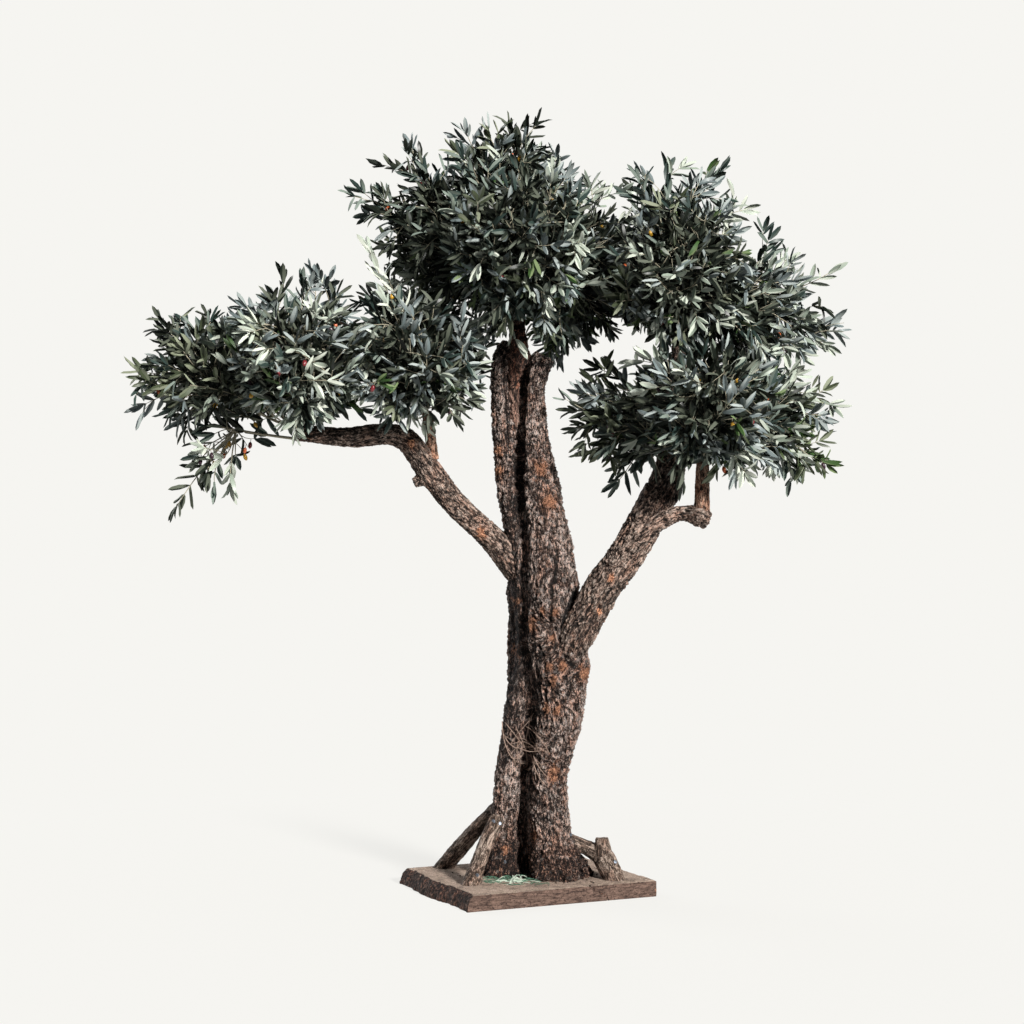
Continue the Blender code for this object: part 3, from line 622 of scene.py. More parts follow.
@dataclass(frozen=True)
class BarkFinish:
    """Crumbly bark: black pits, grey-brown crumbs, rusty chips where the cork has come off."""

    name: str = "bark"
    # furrow: the near black of pits and seams, partly painted shade
    furrow: Colour = (0.0032, 0.0022, 0.0018)
    body: Colour = (0.034, 0.021, 0.016)
    plate: Colour = (0.104, 0.077, 0.064)
    # crest: the palest grey of raised crumbs and lichen, partly painted highlight
    crest: Colour = (0.74, 0.68, 0.64)
    rust: Colour = (0.08, 0.022, 0.01)
    rust_pale: Colour = (0.86, 0.44, 0.26)
    flake_size: float = 0.004
    stretch: float = 4.2
    rough: float = 0.72
    bump: float = 0.0042
    warmth: float = 0.85
    bleach: float = 0.4
    shine: float = 0.28

    def build(self) -> Material:
        """Makes the bark: the ridge attribute sets its tone and the grain its direction.

        Returns:
            The material.
        """
        made, board = new_material(self.name)
        grain = board.add("Attribute", attribute_name="grain").outputs["Vector"]
        ridge = board.add("Attribute", attribute_name="ridge").outputs["Fac"]
        chip = board.add("Attribute", attribute_name="chip").outputs["Fac"]
        fibre = board.shared(
            fibre_group(), Vector=grain, Size=self.flake_size, Stretch=self.stretch, Wander=1.1
        )
        fine = board.shared(
            fibre_group(), Vector=grain, Size=self.flake_size * 0.45, Stretch=2.2, Wander=1.0
        )
        tone = board.reckon("MULTIPLY_ADD", fibre.outputs["Tone"], 0.66, ridge)
        tone = board.reckon("MULTIPLY_ADD", fine.outputs["Tone"], 0.54, tone, clamp=True)
        # the ramp runs from black furrows to pale crests: painted shade and highlight over the bark's own
        # colour
        stops = [(0.26, self.furrow), (0.42, self.body), (0.58, self.plate), (0.86, self.crest)]
        colour = board.ramp(tone, stops)
        broken = board.reckon("MULTIPLY_ADD", fibre.outputs["Tone"], 0.42, chip)
        stain = board.spread(broken, -0.08, 0.24)
        warm = board.reckon("MULTIPLY", stain, self.warmth)
        colour = board.blend(warm, colour, (0.86, 0.5, 0.36), "MULTIPLY")
        lichen = board.shared(speckle_group(), Vector=grain, Size=0.014, Cover=0.4, Rim=0.1)
        pale = board.reckon("MULTIPLY", lichen.outputs["Mask"], tone)
        pale = board.reckon("MULTIPLY", pale, self.bleach)
        colour = board.blend(pale, colour, self.crest)
        torn = board.spread(broken, 0.38, 0.56)
        lit = board.reckon("MULTIPLY_ADD", tone, 2.0, 0.25, clamp=True)
        torn = board.reckon("MULTIPLY", torn, lit)
        # worn: the chips are paler where the tone is high, on raised bark: partly the bared cork's colour,
        # partly painted highlight
        worn = board.spread(fine.outputs["Tone"], -0.25, 0.5)
        worn = board.reckon("MULTIPLY", worn, board.reckon("MULTIPLY", tone, 1.5, clamp=True))
        orange = board.blend(worn, self.rust, self.rust_pale)
        colour = board.blend(torn, colour, orange)
        rough = board.spread(tone, 0.0, 1.0, 0.97, self.rough - 0.1)
        height = board.reckon("MULTIPLY_ADD", fine.outputs["Height"], 0.45, fibre.outputs["Height"])
        inputs = {"Height": height, "Strength": 1.0, "Distance": self.bump}
        bump = board.add("Bump", inputs).outputs[0]
        board.surface({"Base Color": colour, "Roughness": rough, "Normal": bump})
        board.surface({"Specular IOR Level": self.shine})
        return made


@dataclass(frozen=True)
class BareWoodFinish:
    """Weathered or sawn bare wood with drawn-out fibres, worn pale and stained dark."""

    name: str
    light: Colour
    dark: Colour
    stain: Colour
    fibre_size: float = 0.004
    stretch: float = 8.0
    turn: tuple[float, float, float] = (0.0, 0.0, 0.0)
    dirt: float = 0.35
    rough: float = 0.78
    bump: float = 0.001
    shine: float = 0.3
    contrast: float = 0.42

    def build(self) -> Material:
        """Makes the wood.

        Returns:
            The material.
        """
        made, board = new_material(self.name)
        place = board.add("TexCoord").outputs["Object"]
        turned = board.add("Mapping", {"Vector": place, "Rotation": self.turn}).outputs[0]
        fibre = board.shared(
            fibre_group(), Vector=turned, Size=self.fibre_size, Stretch=self.stretch, Wander=0.35
        )
        fibres = fibre.outputs["Tone"]
        tone = board.reckon("MULTIPLY_ADD", fibres, self.contrast, 0.52, clamp=True)
        colour = board.ramp(tone, [(0.12, self.dark), (0.85, self.light)])
        blotch = board.shared(speckle_group(), Vector=place, Size=0.05, Cover=0.5, Rim=0.3)
        share = board.reckon("MULTIPLY", blotch.outputs["Mask"], self.dirt)
        colour = board.blend(share, colour, self.stain)
        speck = board.shared(speckle_group(), Vector=place, Size=0.0045, Cover=0.36, Rim=0.06)
        share = board.reckon("MULTIPLY", speck.outputs["Mask"], self.dirt * 1.5, clamp=True)
        colour = board.blend(share, colour, self.stain)
        rough = board.spread(tone, 0.0, 1.0, min(1.0, self.rough + 0.15), self.rough)
        inputs = {"Height": fibre.outputs["Height"], "Strength": 0.9, "Distance": self.bump}
        bump = board.add("Bump", inputs).outputs[0]
        board.surface({"Base Color": colour, "Roughness": rough, "Normal": bump})
        board.surface({"Specular IOR Level": self.shine})
        return made


@dataclass(frozen=True)
class PlainFinish:
    """One even colour with its own sheen, as moulded leaves, fruit and steel have."""

    name: str
    colour: Colour
    rough: float = 0.5
    shine: float = 0.4
    metal: float = 0.0

    def build(self) -> Material:
        """Makes the material.

        Returns:
            The material.
        """
        made, board = new_material(self.name)
        board.surface({"Base Color": (*self.colour, 1.0), "Roughness": self.rough})
        board.surface({"Specular IOR Level": self.shine, "Metallic": self.metal})
        return made


# ---- the tree's limbs ----

# in front on the right, thickest under the right bough
MAIN_STEM = Limb(
    [
        (70, -48, 10, 66), (58, -42, 120, 51), (45, -32, 281, 49), (66, -30, 434, 64), (68, -30, 600, 80),
        (54, -22, 793, 71), (31, -12, 998, 53), (12, -8, 1151, 36), (10, -8, 1270, 29), (23, -10, 1330, 30),
        (40, -12, 1364, 27),
    ],
    sides=28, depth=1.1, phase=0.4, pace=0.16,
)
# slimmer, on the left
LEFT_STEM = Limb(
    [
        (-72, -4, 10, 53), (-66, -4, 127, 36), (-53, -6, 281, 34), (-31, -10, 434, 35), (-6, -12, 614, 29),
        (-18, -12, 844, 30), (-46, -8, 998, 29), (-61, -4, 1151, 27), (-73, 0, 1305, 25),
        (-68, 2, 1365, 22), (-52, 4, 1400, 15),
    ],
    sides=24, depth=1.25, phase=1.9, pace=0.16,
)
# closes the cleft between the other two
BACK_STEM = Limb(
    [
        (-2, 58, 10, 78), (-4, 46, 130, 60), (-2, 40, 300, 56), (20, 40, 600, 70), (16, 36, 850, 62),
        (-8, 28, 1080, 43), (-28, 22, 1250, 31), (-30, 20, 1366, 28),
    ],
    sides=28, depth=0.9, phase=3.1, pace=0.16,
)
ROOT_TOES = [
    Limb([(*end, thin), (*top, thick)], sides=16, gnarl=0.07, phase=phase)
    for end, thin, top, thick, phase in (
        ((102, -98, 34), 26, (66, -52, 135), 36, 0.3),
        ((30, -100, 32), 22, (48, -52, 130), 30, 1.1),
        ((160, -28, 40), 10, (82, -30, 130), 24, 2.2),
        ((134, -74, 40), 6, (98, -66, 120), 9, 0.9),
        ((149, -52, 40), 6, (102, -50, 138), 9, 1.7),
        ((-82, -52, 34), 26, (-66, -10, 130), 28, 2.9),
        ((-130, 36, 36), 20, (-62, 12, 140), 30, 3.7),
        ((76, 136, 34), 26, (18, 52, 150), 40, 4.6),
        ((-66, 140, 34), 24, (-12, 54, 150), 40, 5.3),
    )
]
LEADER = Limb([(-26, 16, 1330, 21), (-28, 20, 1440, 17.5), (-22, 30, 1560, 15.5)], sides=16)
LEFT_BOUGH = Limb(
    [
        (-22, 0, 815, 40), (-79, -12, 885, 34), (-193, -22, 993, 31), (-254, -30, 1071, 32),
        (-302, -37, 1141, 31), (-345, -43, 1163, 27), (-396, -50, 1162, 25), (-466, -56, 1156, 25),
        (-590, -66, 1168, 21),
    ],
    step=0.012, pace=0.035,
)
LEFT_KNOT = Limb([(-268, -30, 1052, 20), (-292, -34, 1040, 13)], sides=12, step=0.01, gnarl=0.1)
LEFT_PEG = Limb([(-243, -28, 1100, 14.5), (-260, -22, 1224, 12.5)], sides=14)
LEFT_TIP_PEG = Limb([(-573, -65, 1165, 13), (-580, -60, 1226, 12.5)], sides=14)
RIGHT_BOUGH = Limb(
    [
        (108, -82, 598, 24), (121, -94, 650, 39), (184, -85, 770, 44), (260, -70, 884, 48),
        (320, -50, 985, 46), (360, -30, 1080, 36), (382, 0, 1280, 27), (398, 22, 1500, 20),
    ],
    phase=0.8, step=0.015,
)
RIGHT_ARM = Limb(
    [
        (222, -82, 835, 26), (268, -112, 893, 24), (305, -120, 929, 21), (346, -116, 953, 21),
        (386, -110, 965, 20), (424, -106, 958, 26), (450, -103, 946, 21),
    ],
    step=0.01, gnarl=0.06, pace=0.04,
)
RIGHT_PEG = Limb([(434, -105, 955, 21), (437, -101, 1105, 14.5)], sides=16)
BRACE_LEFT_FRONT = Limb(
    [
        (-152, -160, 20, 26), (-130, -128, 78, 20), (-110, -92, 130, 19), (-86, -58, 180, 20),
        (-80, -50, 196, 15),
    ],
    step=0.008, pace=0.03,
)
BRACE_LEFT_BACK = Limb(
    [(-238, 112, 20, 22), (-175, 76, 100, 21), (-120, 40, 165, 19), (-75, 20, 215, 17)],
    step=0.008, phase=2.0,
)
BRACE_RIGHT = Limb(
    [(66, -30, 146, 18), (114, -36, 127, 19), (154, -40, 110, 20), (190, -52, 90, 26), (223, -88, 20, 26)],
    step=0.008, phase=1.0, pace=0.03,
)
BRACE_STUB = Limb([(188, -54, 90, 24), (185, -56, 141, 16)], sides=14, step=0.008)
# the leader's foot, drawn out between the two stems
LEADER_COLLAR = Limb(
    [
        (-39, -14, 1160, 6), (-39, -15, 1230, 10), (-37, -12, 1300, 14), (-33, -6, 1340, 22),
        (-26, -2, 1362, 31), (-26, 1, 1384, 24), (-30, 5, 1430, 18),
    ],
    step=0.008, gnarl=0.12, pace=0.03,
)
SOLID_LIMBS = [
    MAIN_STEM, LEFT_STEM, BACK_STEM, *ROOT_TOES, LEADER, LEFT_BOUGH, LEFT_KNOT, LEFT_PEG,
    LEFT_TIP_PEG, RIGHT_BOUGH, RIGHT_ARM, RIGHT_PEG,
]


# ---- bark ----


@dataclass(frozen=True)
class Cleft:
    """A deep furrow down a side of the trunk, along a line of (x, z) points, darkened by painted shade."""

    line: tuple[tuple[float, float], ...]
    depth: float = 0.02
    width: float = 0.008
    front: bool = True
    # shade: how far the bark's colour is darkened along the furrow, painted shade
    shade: float = 0.62

    def sink(self, points: Array, facing: Array) -> Array:
        """How deep the cleft is at each point.

        Args:
            points: Rows of x, y and z.
            facing: The points' normals.

        Returns:
            A depth for each point, from 0 to 1.
        """
        flat = points[:, (0, 2)]
        line = np.array(self.line)
        gap = np.full(len(points), np.inf)
        for start, end in zip(line, line[1:]):
            along = end - start
            share = np.clip((flat - start) @ along / (along @ along), 0.0, 1.0)
            away = np.linalg.norm(flat - start - share[:, None] * along, axis=1)
            gap = np.minimum(gap, away)
        side = -facing[:, 1] if self.front else facing[:, 1]
        width = self.width * (1 + 0.45 * Noise(3).layered(points / 0.055, 2))
        return bell(gap, width) * smooth_step(-0.25, 0.15, side)


@dataclass(frozen=True)
class Spot:
    """A place on the bark: a chip, a knob or a hollow."""

    x: float
    z: float
    size: float
    height: float = 0.0
    front: bool = True

    def cover(self, points: Array, facing: Array) -> Array:
        """How far each point belongs to the spot, from 0 to 1."""
        gap = np.hypot(points[:, 0] - self.x, (points[:, 2] - self.z) * 0.7)
        gap *= 1 + 0.6 * Noise(4).layered(points / 0.012, 2)
        side = -facing[:, 1] if self.front else facing[:, 1]
        return bell(gap, self.size) * smooth_step(-0.3, 0.1, side)


@dataclass(frozen=True)
class Swirl:
    """A place where the bark's grain turns, as round the foot of a bough."""

    x: float
    z: float
    size: float
    angle: float

    def turned(self, grain: Array, points: Array) -> Array:
        """The grain with its part near the swirl turned."""
        x = points[:, 0] - self.x
        z = points[:, 2] - self.z
        angle = self.angle * bell(np.hypot(x, z), self.size)
        moved = grain.copy()
        moved[:, 0] += x * (np.cos(angle) - 1) - z * np.sin(angle)
        moved[:, 2] += x * np.sin(angle) + z * (np.cos(angle) - 1)
        return moved


@dataclass(frozen=True)
class BarkRelief:
    """How rough a piece of bark is, and the shapes that stand out of it."""

    seed: int
    across: float = 0.013  # width of a ridge
    along: float = 0.032  # and its length
    plate: float = 0.005  # how deep the furrows between ridges are
    lump: float = 0.0045
    lump_size: float = 0.07
    crumple: float = 0.0042
    crumple_size: float = 0.01
    clefts: tuple[Cleft, ...] = ()
    knobs: tuple[Spot, ...] = ()
    chips: tuple[Spot, ...] = ()
    swirls: tuple[Swirl, ...] = ()
    chip_cover: float = 0.0
    foot_darkening: float = 0.0  # how much darker the bark is near the plank

    def carve(self, piece: Piece, limbs: list[Limb]) -> None:
        """Raises ridges and lumps, sinks furrows, and marks tone, chips and grain.

        Args:
            piece: A fine even mesh of the fused limbs.
            limbs: The limbs that it was fused from.
        """
        points, facing = points_and_normals(piece)
        grain, radius = grain_of(points, limbs)
        for swirl in self.swirls:
            grain = swirl.turned(grain, points)
        noise = Noise(self.seed)
        drawn = np.array((1.0, 1.0, 0.45))
        lumps = noise.layered(grain * drawn / self.lump_size, 2)
        wander = np.stack([noise.smooth(grain / 0.04 + 31.7 * k) for k in range(3)], axis=1)
        spread = np.clip(radius / 0.045, 0.55, 1.2)
        cell = np.stack([self.across * spread, self.across * spread, self.along * spread], axis=1)
        ridges = grain / cell + wander * 1.1
        seam = smooth_step(0.0, 0.3, np.abs(noise.layered(ridges, 2)))
        fine_seam = smooth_step(0.0, 0.34, np.abs(noise.layered(ridges * 2.1 + 5.5, 2)))
        size = self.crumple_size
        crumple = noise.layered(grain / (size, size, size * 1.6) + wander, 3, 0.65)
        height = self.lump * lumps * spread
        height += self.plate * spread * (seam - 0.7)
        height += self.plate * 0.5 * (fine_seam - 0.7)
        height += self.crumple * crumple
        # dark is painted shade: each cleft darkens the bark's tone and thins its chips
        dark = np.zeros(len(points))
        for cleft in self.clefts:
            sink = cleft.sink(points, facing)
            height = height * (1 - 0.6 * sink) - cleft.depth * sink
            dark = np.maximum(dark, cleft.shade * smooth_step(0.1, 1.0, sink))
        for knob in self.knobs:
            height += knob.height * knob.cover(points, facing)
        # the tone follows the relief, seams and furrows low and crumbs high: partly the bark's own colour,
        # partly painted shade in the hollows and painted highlight on the crumbs
        tone = 0.25 + 0.23 * seam + 0.13 * fine_seam + 0.26 * crumple + 0.14 * lumps
        tone = np.clip(tone, 0.0, 1.0) * (1 - dark)
        # the bark is darker towards the plank
        tone *= 1 - self.foot_darkening * smooth_step(0.17, 0.06, points[:, 2])
        chip = self.chip_cover + 0.3 * noise.layered(grain * drawn / 0.034 + 71.0, 3)
        for spot in self.chips:
            chip = np.maximum(chip, 0.85 * spot.cover(points, facing))
            height += 0.0022 * spot.cover(points, facing)
        moved = points + facing * height[:, None]
        reshape(piece, moved)
        mark(piece, "grain", grain + facing * height[:, None])
        mark(piece, "ridge", tone)
        chip += 0.4 * self.foot_darkening * smooth_step(0.2, 0.06, points[:, 2])
        mark(piece, "chip", np.clip(chip, -1.0, 1.0) * (1 - 0.7 * dark))


def shade(piece: Piece) -> None:
    """Shades a piece smoothly all over."""
    pick(piece)
    bpy.ops.object.shade_smooth()


def bark_piece(limbs: list[Limb], voxel: float, relief: BarkRelief, stands: bool = False) -> Piece:
    """Models limbs, fuses them into one even skin and carves the bark.

    Args:
        limbs: The limbs that grow together.
        voxel: How fine the skin's mesh is.
        relief: The bark.
        stands: Whether the piece is cut off level to stand on the plank.

    Returns:
        The fused piece.
    """
    piece = fuse([limb.model() for limb in limbs])
    finish_with(piece, "REMESH", mode="VOXEL", voxel_size=voxel)
    finish_with(piece, "SMOOTH", factor=0.5, iterations=3)
    relief.carve(piece, limbs)
    if stands:
        cut_level(piece, PLANK_TOP)
    shade(piece)
    return piece


# ---- trunk, boughs and pegs ----

# between the two front stems; the bark in it is darkened a little with painted shade
MAIN_CLEFT = Cleft(
    (
        (-0.009, 1.372), (-0.014, 1.325), (-0.019, 1.279), (-0.019, 1.18), (-0.026, 1.08),
        (-0.022, 0.98), (-0.016, 0.93), (-0.011, 0.871), (-0.015, 0.807), (-0.015, 0.708),
        (-0.008, 0.574), (0.008, 0.495), (0.0, 0.378), (-0.008, 0.262), (-0.015, 0.175), (-0.015, 0.071),
    ),
    depth=0.018, width=0.0105, shade=0.22,
)
# where the right bough's foot lies against the trunk: a crease darkened with painted shadow
BOUGH_FOOT_CLEFT = Cleft(
    ((0.14, 0.785), (0.108, 0.735), (0.089, 0.697), (0.085, 0.647), (0.094, 0.605), (0.112, 0.578)),
    depth=0.014, width=0.0074, shade=0.95,
)
# the left stem's dark side: a wide band of painted shade that sinks nothing
PAINTED_SHADE_BAND = Cleft(
    (
        (-0.04, 1.0), (-0.04, 0.86), (-0.034, 0.76), (-0.032, 0.64), (-0.034, 0.56),
        (-0.044, 0.44), (-0.056, 0.34),
    ),
    depth=0.0, width=0.024, shade=0.42,
)
TRUNK_CLEFTS = (
    MAIN_CLEFT, BOUGH_FOOT_CLEFT, PAINTED_SHADE_BAND,
    # the crack between the left stem and the leader's collar, painted almost black with shade
    Cleft(
        ((-0.059, 1.365), (-0.057, 1.29), (-0.051, 1.22), (-0.046, 1.15)),
        depth=0.02, width=0.0056, shade=0.95,
    ),
    # lesser furrows, their bark darkened with painted shade
    Cleft(((0.075, 0.87), (0.06, 0.78), (0.052, 0.69)), depth=0.005, width=0.005),
    Cleft(((0.02, 1.33), (0.006, 1.23), (0.012, 1.12)), 0.012, 0.006, front=False),
    Cleft(((0.07, 0.7), (0.046, 0.5), (0.055, 0.3)), 0.015, 0.009, front=False),
    Cleft(((-0.04, 0.52), (-0.035, 0.33), (-0.02, 0.1)), 0.014, 0.008, front=False),
)
TRUNK_KNOBS = (
    Spot(0.096, 0.08, 0.026, 0.008), Spot(0.128, 0.57, 0.024, 0.006), Spot(0.042, 0.69, 0.02, -0.01),
    Spot(0.072, 0.662, 0.014, -0.009), Spot(0.112, 0.545, 0.01, -0.009), Spot(-0.06, 0.48, 0.022, 0.005),
    Spot(-0.04, 0.76, 0.02, 0.006, front=False), Spot(0.08, 0.42, 0.026, 0.008, front=False),
)
FRONT_CHIPS = (
    (0.03, 1.075, 0.015), (0.051, 0.992, 0.017), (-0.077, 1.125, 0.01), (-0.076, 1.07, 0.011),
    (-0.032, 0.74, 0.012), (-0.036, 0.61, 0.012), (0.005, 0.685, 0.013), (0.033, 0.72, 0.008),
    (0.063, 0.715, 0.009), (0.058, 0.652, 0.008), (0.085, 0.58, 0.013), (0.05, 0.578, 0.009),
    (0.06, 0.541, 0.01), (0.136, 0.56, 0.013), (0.045, 0.471, 0.009), (0.07, 0.466, 0.01),
    (0.063, 0.306, 0.016), (0.015, 0.148, 0.009), (-0.06, 0.11, 0.008),
)
BACK_CHIPS = ((0.02, 0.9, 0.016), (-0.03, 0.6, 0.018), (0.06, 0.25, 0.014))
TRUNK_CHIPS = (
    *(Spot(*place) for place in FRONT_CHIPS), *(Spot(*place, front=False) for place in BACK_CHIPS),
)


@dataclass
class Trunk:
    """Three stems and their root toes grown into one trunk, and the leader on top."""

    voxel: float = 0.0035
    leader_voxel: float = 0.0025
    leader_relief: BarkRelief = BarkRelief(seed=12, across=0.01, along=0.03, plate=0.0018, lump=0.0018)
    finish: BarkFinish = BarkFinish()
    leader_finish: BarkFinish = BarkFinish(
        name="leader bark", body=(0.04, 0.021, 0.015), plate=(0.098, 0.054, 0.039),
        crest=(0.32, 0.205, 0.16), flake_size=0.005, stretch=4.5, bump=0.002, bleach=0.2,
    )
    relief: BarkRelief = BarkRelief(
        seed=7, foot_darkening=0.35, clefts=TRUNK_CLEFTS, knobs=TRUNK_KNOBS, chips=TRUNK_CHIPS,
        swirls=(Swirl(0.055, 0.6, 0.075, 0.8), Swirl(0.05, 0.69, 0.035, -0.7)),
    )

    def build(self) -> None:
        """Models, carves and dresses the trunk and the leader that stands on it."""
        limbs = [MAIN_STEM, LEFT_STEM, BACK_STEM, *ROOT_TOES]
        trunk = bark_piece(limbs, self.voxel, self.relief, stands=True)
        dress(trunk, "trunk_bark", [self.finish.build()], ["trunk"])
        leader = bark_piece([LEADER, LEADER_COLLAR], self.leader_voxel, self.leader_relief)
        dress(leader, "leader_bark", [self.leader_finish.build()], ["leader"])


@dataclass
class Boughs:
    """The two big boughs, the right one's arm and the pegs that carry the foliage."""

    voxel: float = 0.0026
    peg_voxel: float = 0.002
    left_relief: BarkRelief = BarkRelief(
        seed=21, across=0.012, along=0.04, plate=0.0026, lump=0.0034, crumple=0.0018,
        chips=(Spot(-0.3, 1.14, 0.01), Spot(-0.12, 0.915, 0.012)),
    )
    right_relief: BarkRelief = BarkRelief(
        seed=22, across=0.015, along=0.045, plate=0.004, lump=0.0044, crumple=0.0026,
        chips=(Spot(0.205, 0.8, 0.008), Spot(0.175, 0.72, 0.007)),
    )
    peg_relief: BarkRelief = BarkRelief(
        seed=23, across=0.008, along=0.022, plate=0.0014, lump=0.0012, crumple=0.001
    )
    finish: BarkFinish = BarkFinish(
        name="bough bark", body=(0.052, 0.034, 0.026), plate=(0.125, 0.093, 0.075),
        crest=(0.46, 0.39, 0.34), flake_size=0.006, stretch=3.2, bump=0.002, warmth=0.6,
    )
    peg_finish: BarkFinish = BarkFinish(
        name="peg bark", body=(0.1, 0.056, 0.038), plate=(0.23, 0.135, 0.092),
        crest=(0.46, 0.33, 0.25), flake_size=0.005, stretch=3.0, bump=0.001,
    )

    def build(self) -> None:
        """Models, carves and dresses the boughs and their pegs."""
        bark = self.finish.build()
        peg_bark = self.peg_finish.build()
        left = bark_piece([LEFT_BOUGH, LEFT_KNOT], self.voxel, self.left_relief)
        nodes = ["bough_left_inner", "bough_left_outer"]
        dress(left, "bough_left_bark", [bark], nodes)
        right = bark_piece([RIGHT_BOUGH, RIGHT_ARM], self.voxel, self.right_relief)
        dress(right, "bough_right_bark", [bark], ["bough_right", "arm_right"])
        pegs = (("peg_left", LEFT_PEG), ("peg_left_tip", LEFT_TIP_PEG), ("peg_right", RIGHT_PEG))
        for name, limb in pegs:
            peg = bark_piece([limb], self.peg_voxel, self.peg_relief)
            dress(peg, name + "_bark", [peg_bark], [name])


@dataclass
class Braces:
    """Three sawn branches that brace the trunk on the plank, with their screws."""

    voxel: float = 0.002
    relief: BarkRelief = BarkRelief(
        seed=31, across=0.01, along=0.045, plate=0.001, lump=0.0026, lump_size=0.045, crumple=0.001,
        chip_cover=-0.05,
    )
    finish: BarkFinish = BarkFinish(
        name="brace bark", furrow=(0.014, 0.009, 0.006), body=(0.056, 0.037, 0.027),
        plate=(0.122, 0.088, 0.067), crest=(0.34, 0.275, 0.23), flake_size=0.0036, stretch=6.0,
        bump=0.0012, warmth=0.45, bleach=0.35,
    )
    screw_head: float = 0.0048
    screws: tuple[tuple[Point, Point], ...] = (
        ((-0.09, -0.0905, 0.186), (-0.2, -1.0, 0.35)), ((-0.074, -0.078, 0.18), (0.2, -1.0, 0.35)),
        ((-0.13, -0.154, 0.064), (-0.3, -1.0, 0.3)), ((-0.062, -0.052, 0.08), (-0.2, -1.0, 0.1)),
        ((0.105, -0.056, 0.15), (0.1, -0.8, 0.8)), ((0.218, -0.096, 0.084), (0.5, -1.0, 0.6)),
    )

    def build(self) -> None:
        """Models, carves and dresses the braces, then drives the screws."""
        bark = self.finish.build()
        jobs = (
            ("brace_left_front", [BRACE_LEFT_FRONT]), ("brace_left_back", [BRACE_LEFT_BACK]),
            ("brace_right", [BRACE_RIGHT, BRACE_STUB]),
        )
        for name, limbs in jobs:
            brace = bark_piece(limbs, self.voxel, self.relief, stands=True)
            dress(brace, name + "_bark", [bark], [name])
        self._drive_screws()

    def _model_screw(self) -> Piece:
        """Models one screw head: a domed disc with a cross cut into it."""
        deselect()
        size = self.screw_head
        bpy.ops.mesh.primitive_cylinder_add(vertices=16, radius=size, depth=size * 0.5)
        screw = bpy.context.object
        bpy.ops.object.mode_set(mode="EDIT")
        work = bmesh.from_edit_mesh(screw.data)
        bpy.ops.mesh.select_all(action="DESELECT")
        for face in work.faces:
            face.select = face.normal.z > 0.9
        bmesh.update_edit_mesh(screw.data)
        bpy.ops.mesh.bevel(offset=size * 0.22, segments=2, affect="EDGES")
        bpy.ops.object.mode_set(mode="OBJECT")
        for turn in (0.0, math.pi / 2):
            bpy.ops.mesh.primitive_cube_add(size=1.0, location=(0, 0, size * 0.3))
            blade = bpy.context.object
            blade.scale = (size * 1.15, size * 0.24, size * 0.34)
            blade.rotation_euler = (0, 0, turn)
            bpy.ops.object.transform_apply(location=True, rotation=True, scale=True)
            finish_with(screw, "BOOLEAN", object=blade, operation="DIFFERENCE")
            bpy.data.objects.remove(blade)
        return screw

    def _on_brace(self, place: Point) -> Point:
        """The nearest bark in front of a place, where a screw's head rests."""
        hits = []
        for name in ("brace_left_front_bark", "brace_right_bark", "trunk_bark"):
            found, hit, _, _ = bpy.data.objects[name].ray_cast((place[0], -0.6, place[2]), (0, 1, 0))
            if found:
                hits.append(hit.y)
        return (place[0], min(hits, default=place[1]), place[2])

    def _drive_screws(self) -> None:
        """Copies the screw to each place, turned to its direction, and joins the copies."""
        master = self._model_screw()
        copies = []
        for number, (place, way) in enumerate(self.screws):
            place = self._on_brace(place)
            copy = bpy.data.objects.new("screw", master.data.copy())
            bpy.context.scene.collection.objects.link(copy)
            turn = Vector(way).to_track_quat("Z", "Y").to_matrix().to_4x4()
            spin = Matrix.Rotation(0.7 * number, 4, "Z")
            copy.data.transform(Matrix.Translation(place) @ turn @ spin)
            copies.append(copy)
        bpy.data.objects.remove(master)
        screws = fuse(copies)
        bpy.ops.object.shade_smooth_by_angle(angle=math.radians(35))
        steel = PlainFinish("zinc steel", (0.15, 0.17, 0.2), rough=0.5, metal=1.0).build()
        dress(screws, "brace_screws", [steel], [])


# ---- plank ----

PLANK_TURN = math.radians(25.0)
PLANK_GRAIN = Vector((math.cos(PLANK_TURN), math.sin(PLANK_TURN), 0.0))
ALONG_PLANK = tuple(PLANK_GRAIN.rotation_difference(Vector((0.0, 0.0, 1.0))).to_euler())


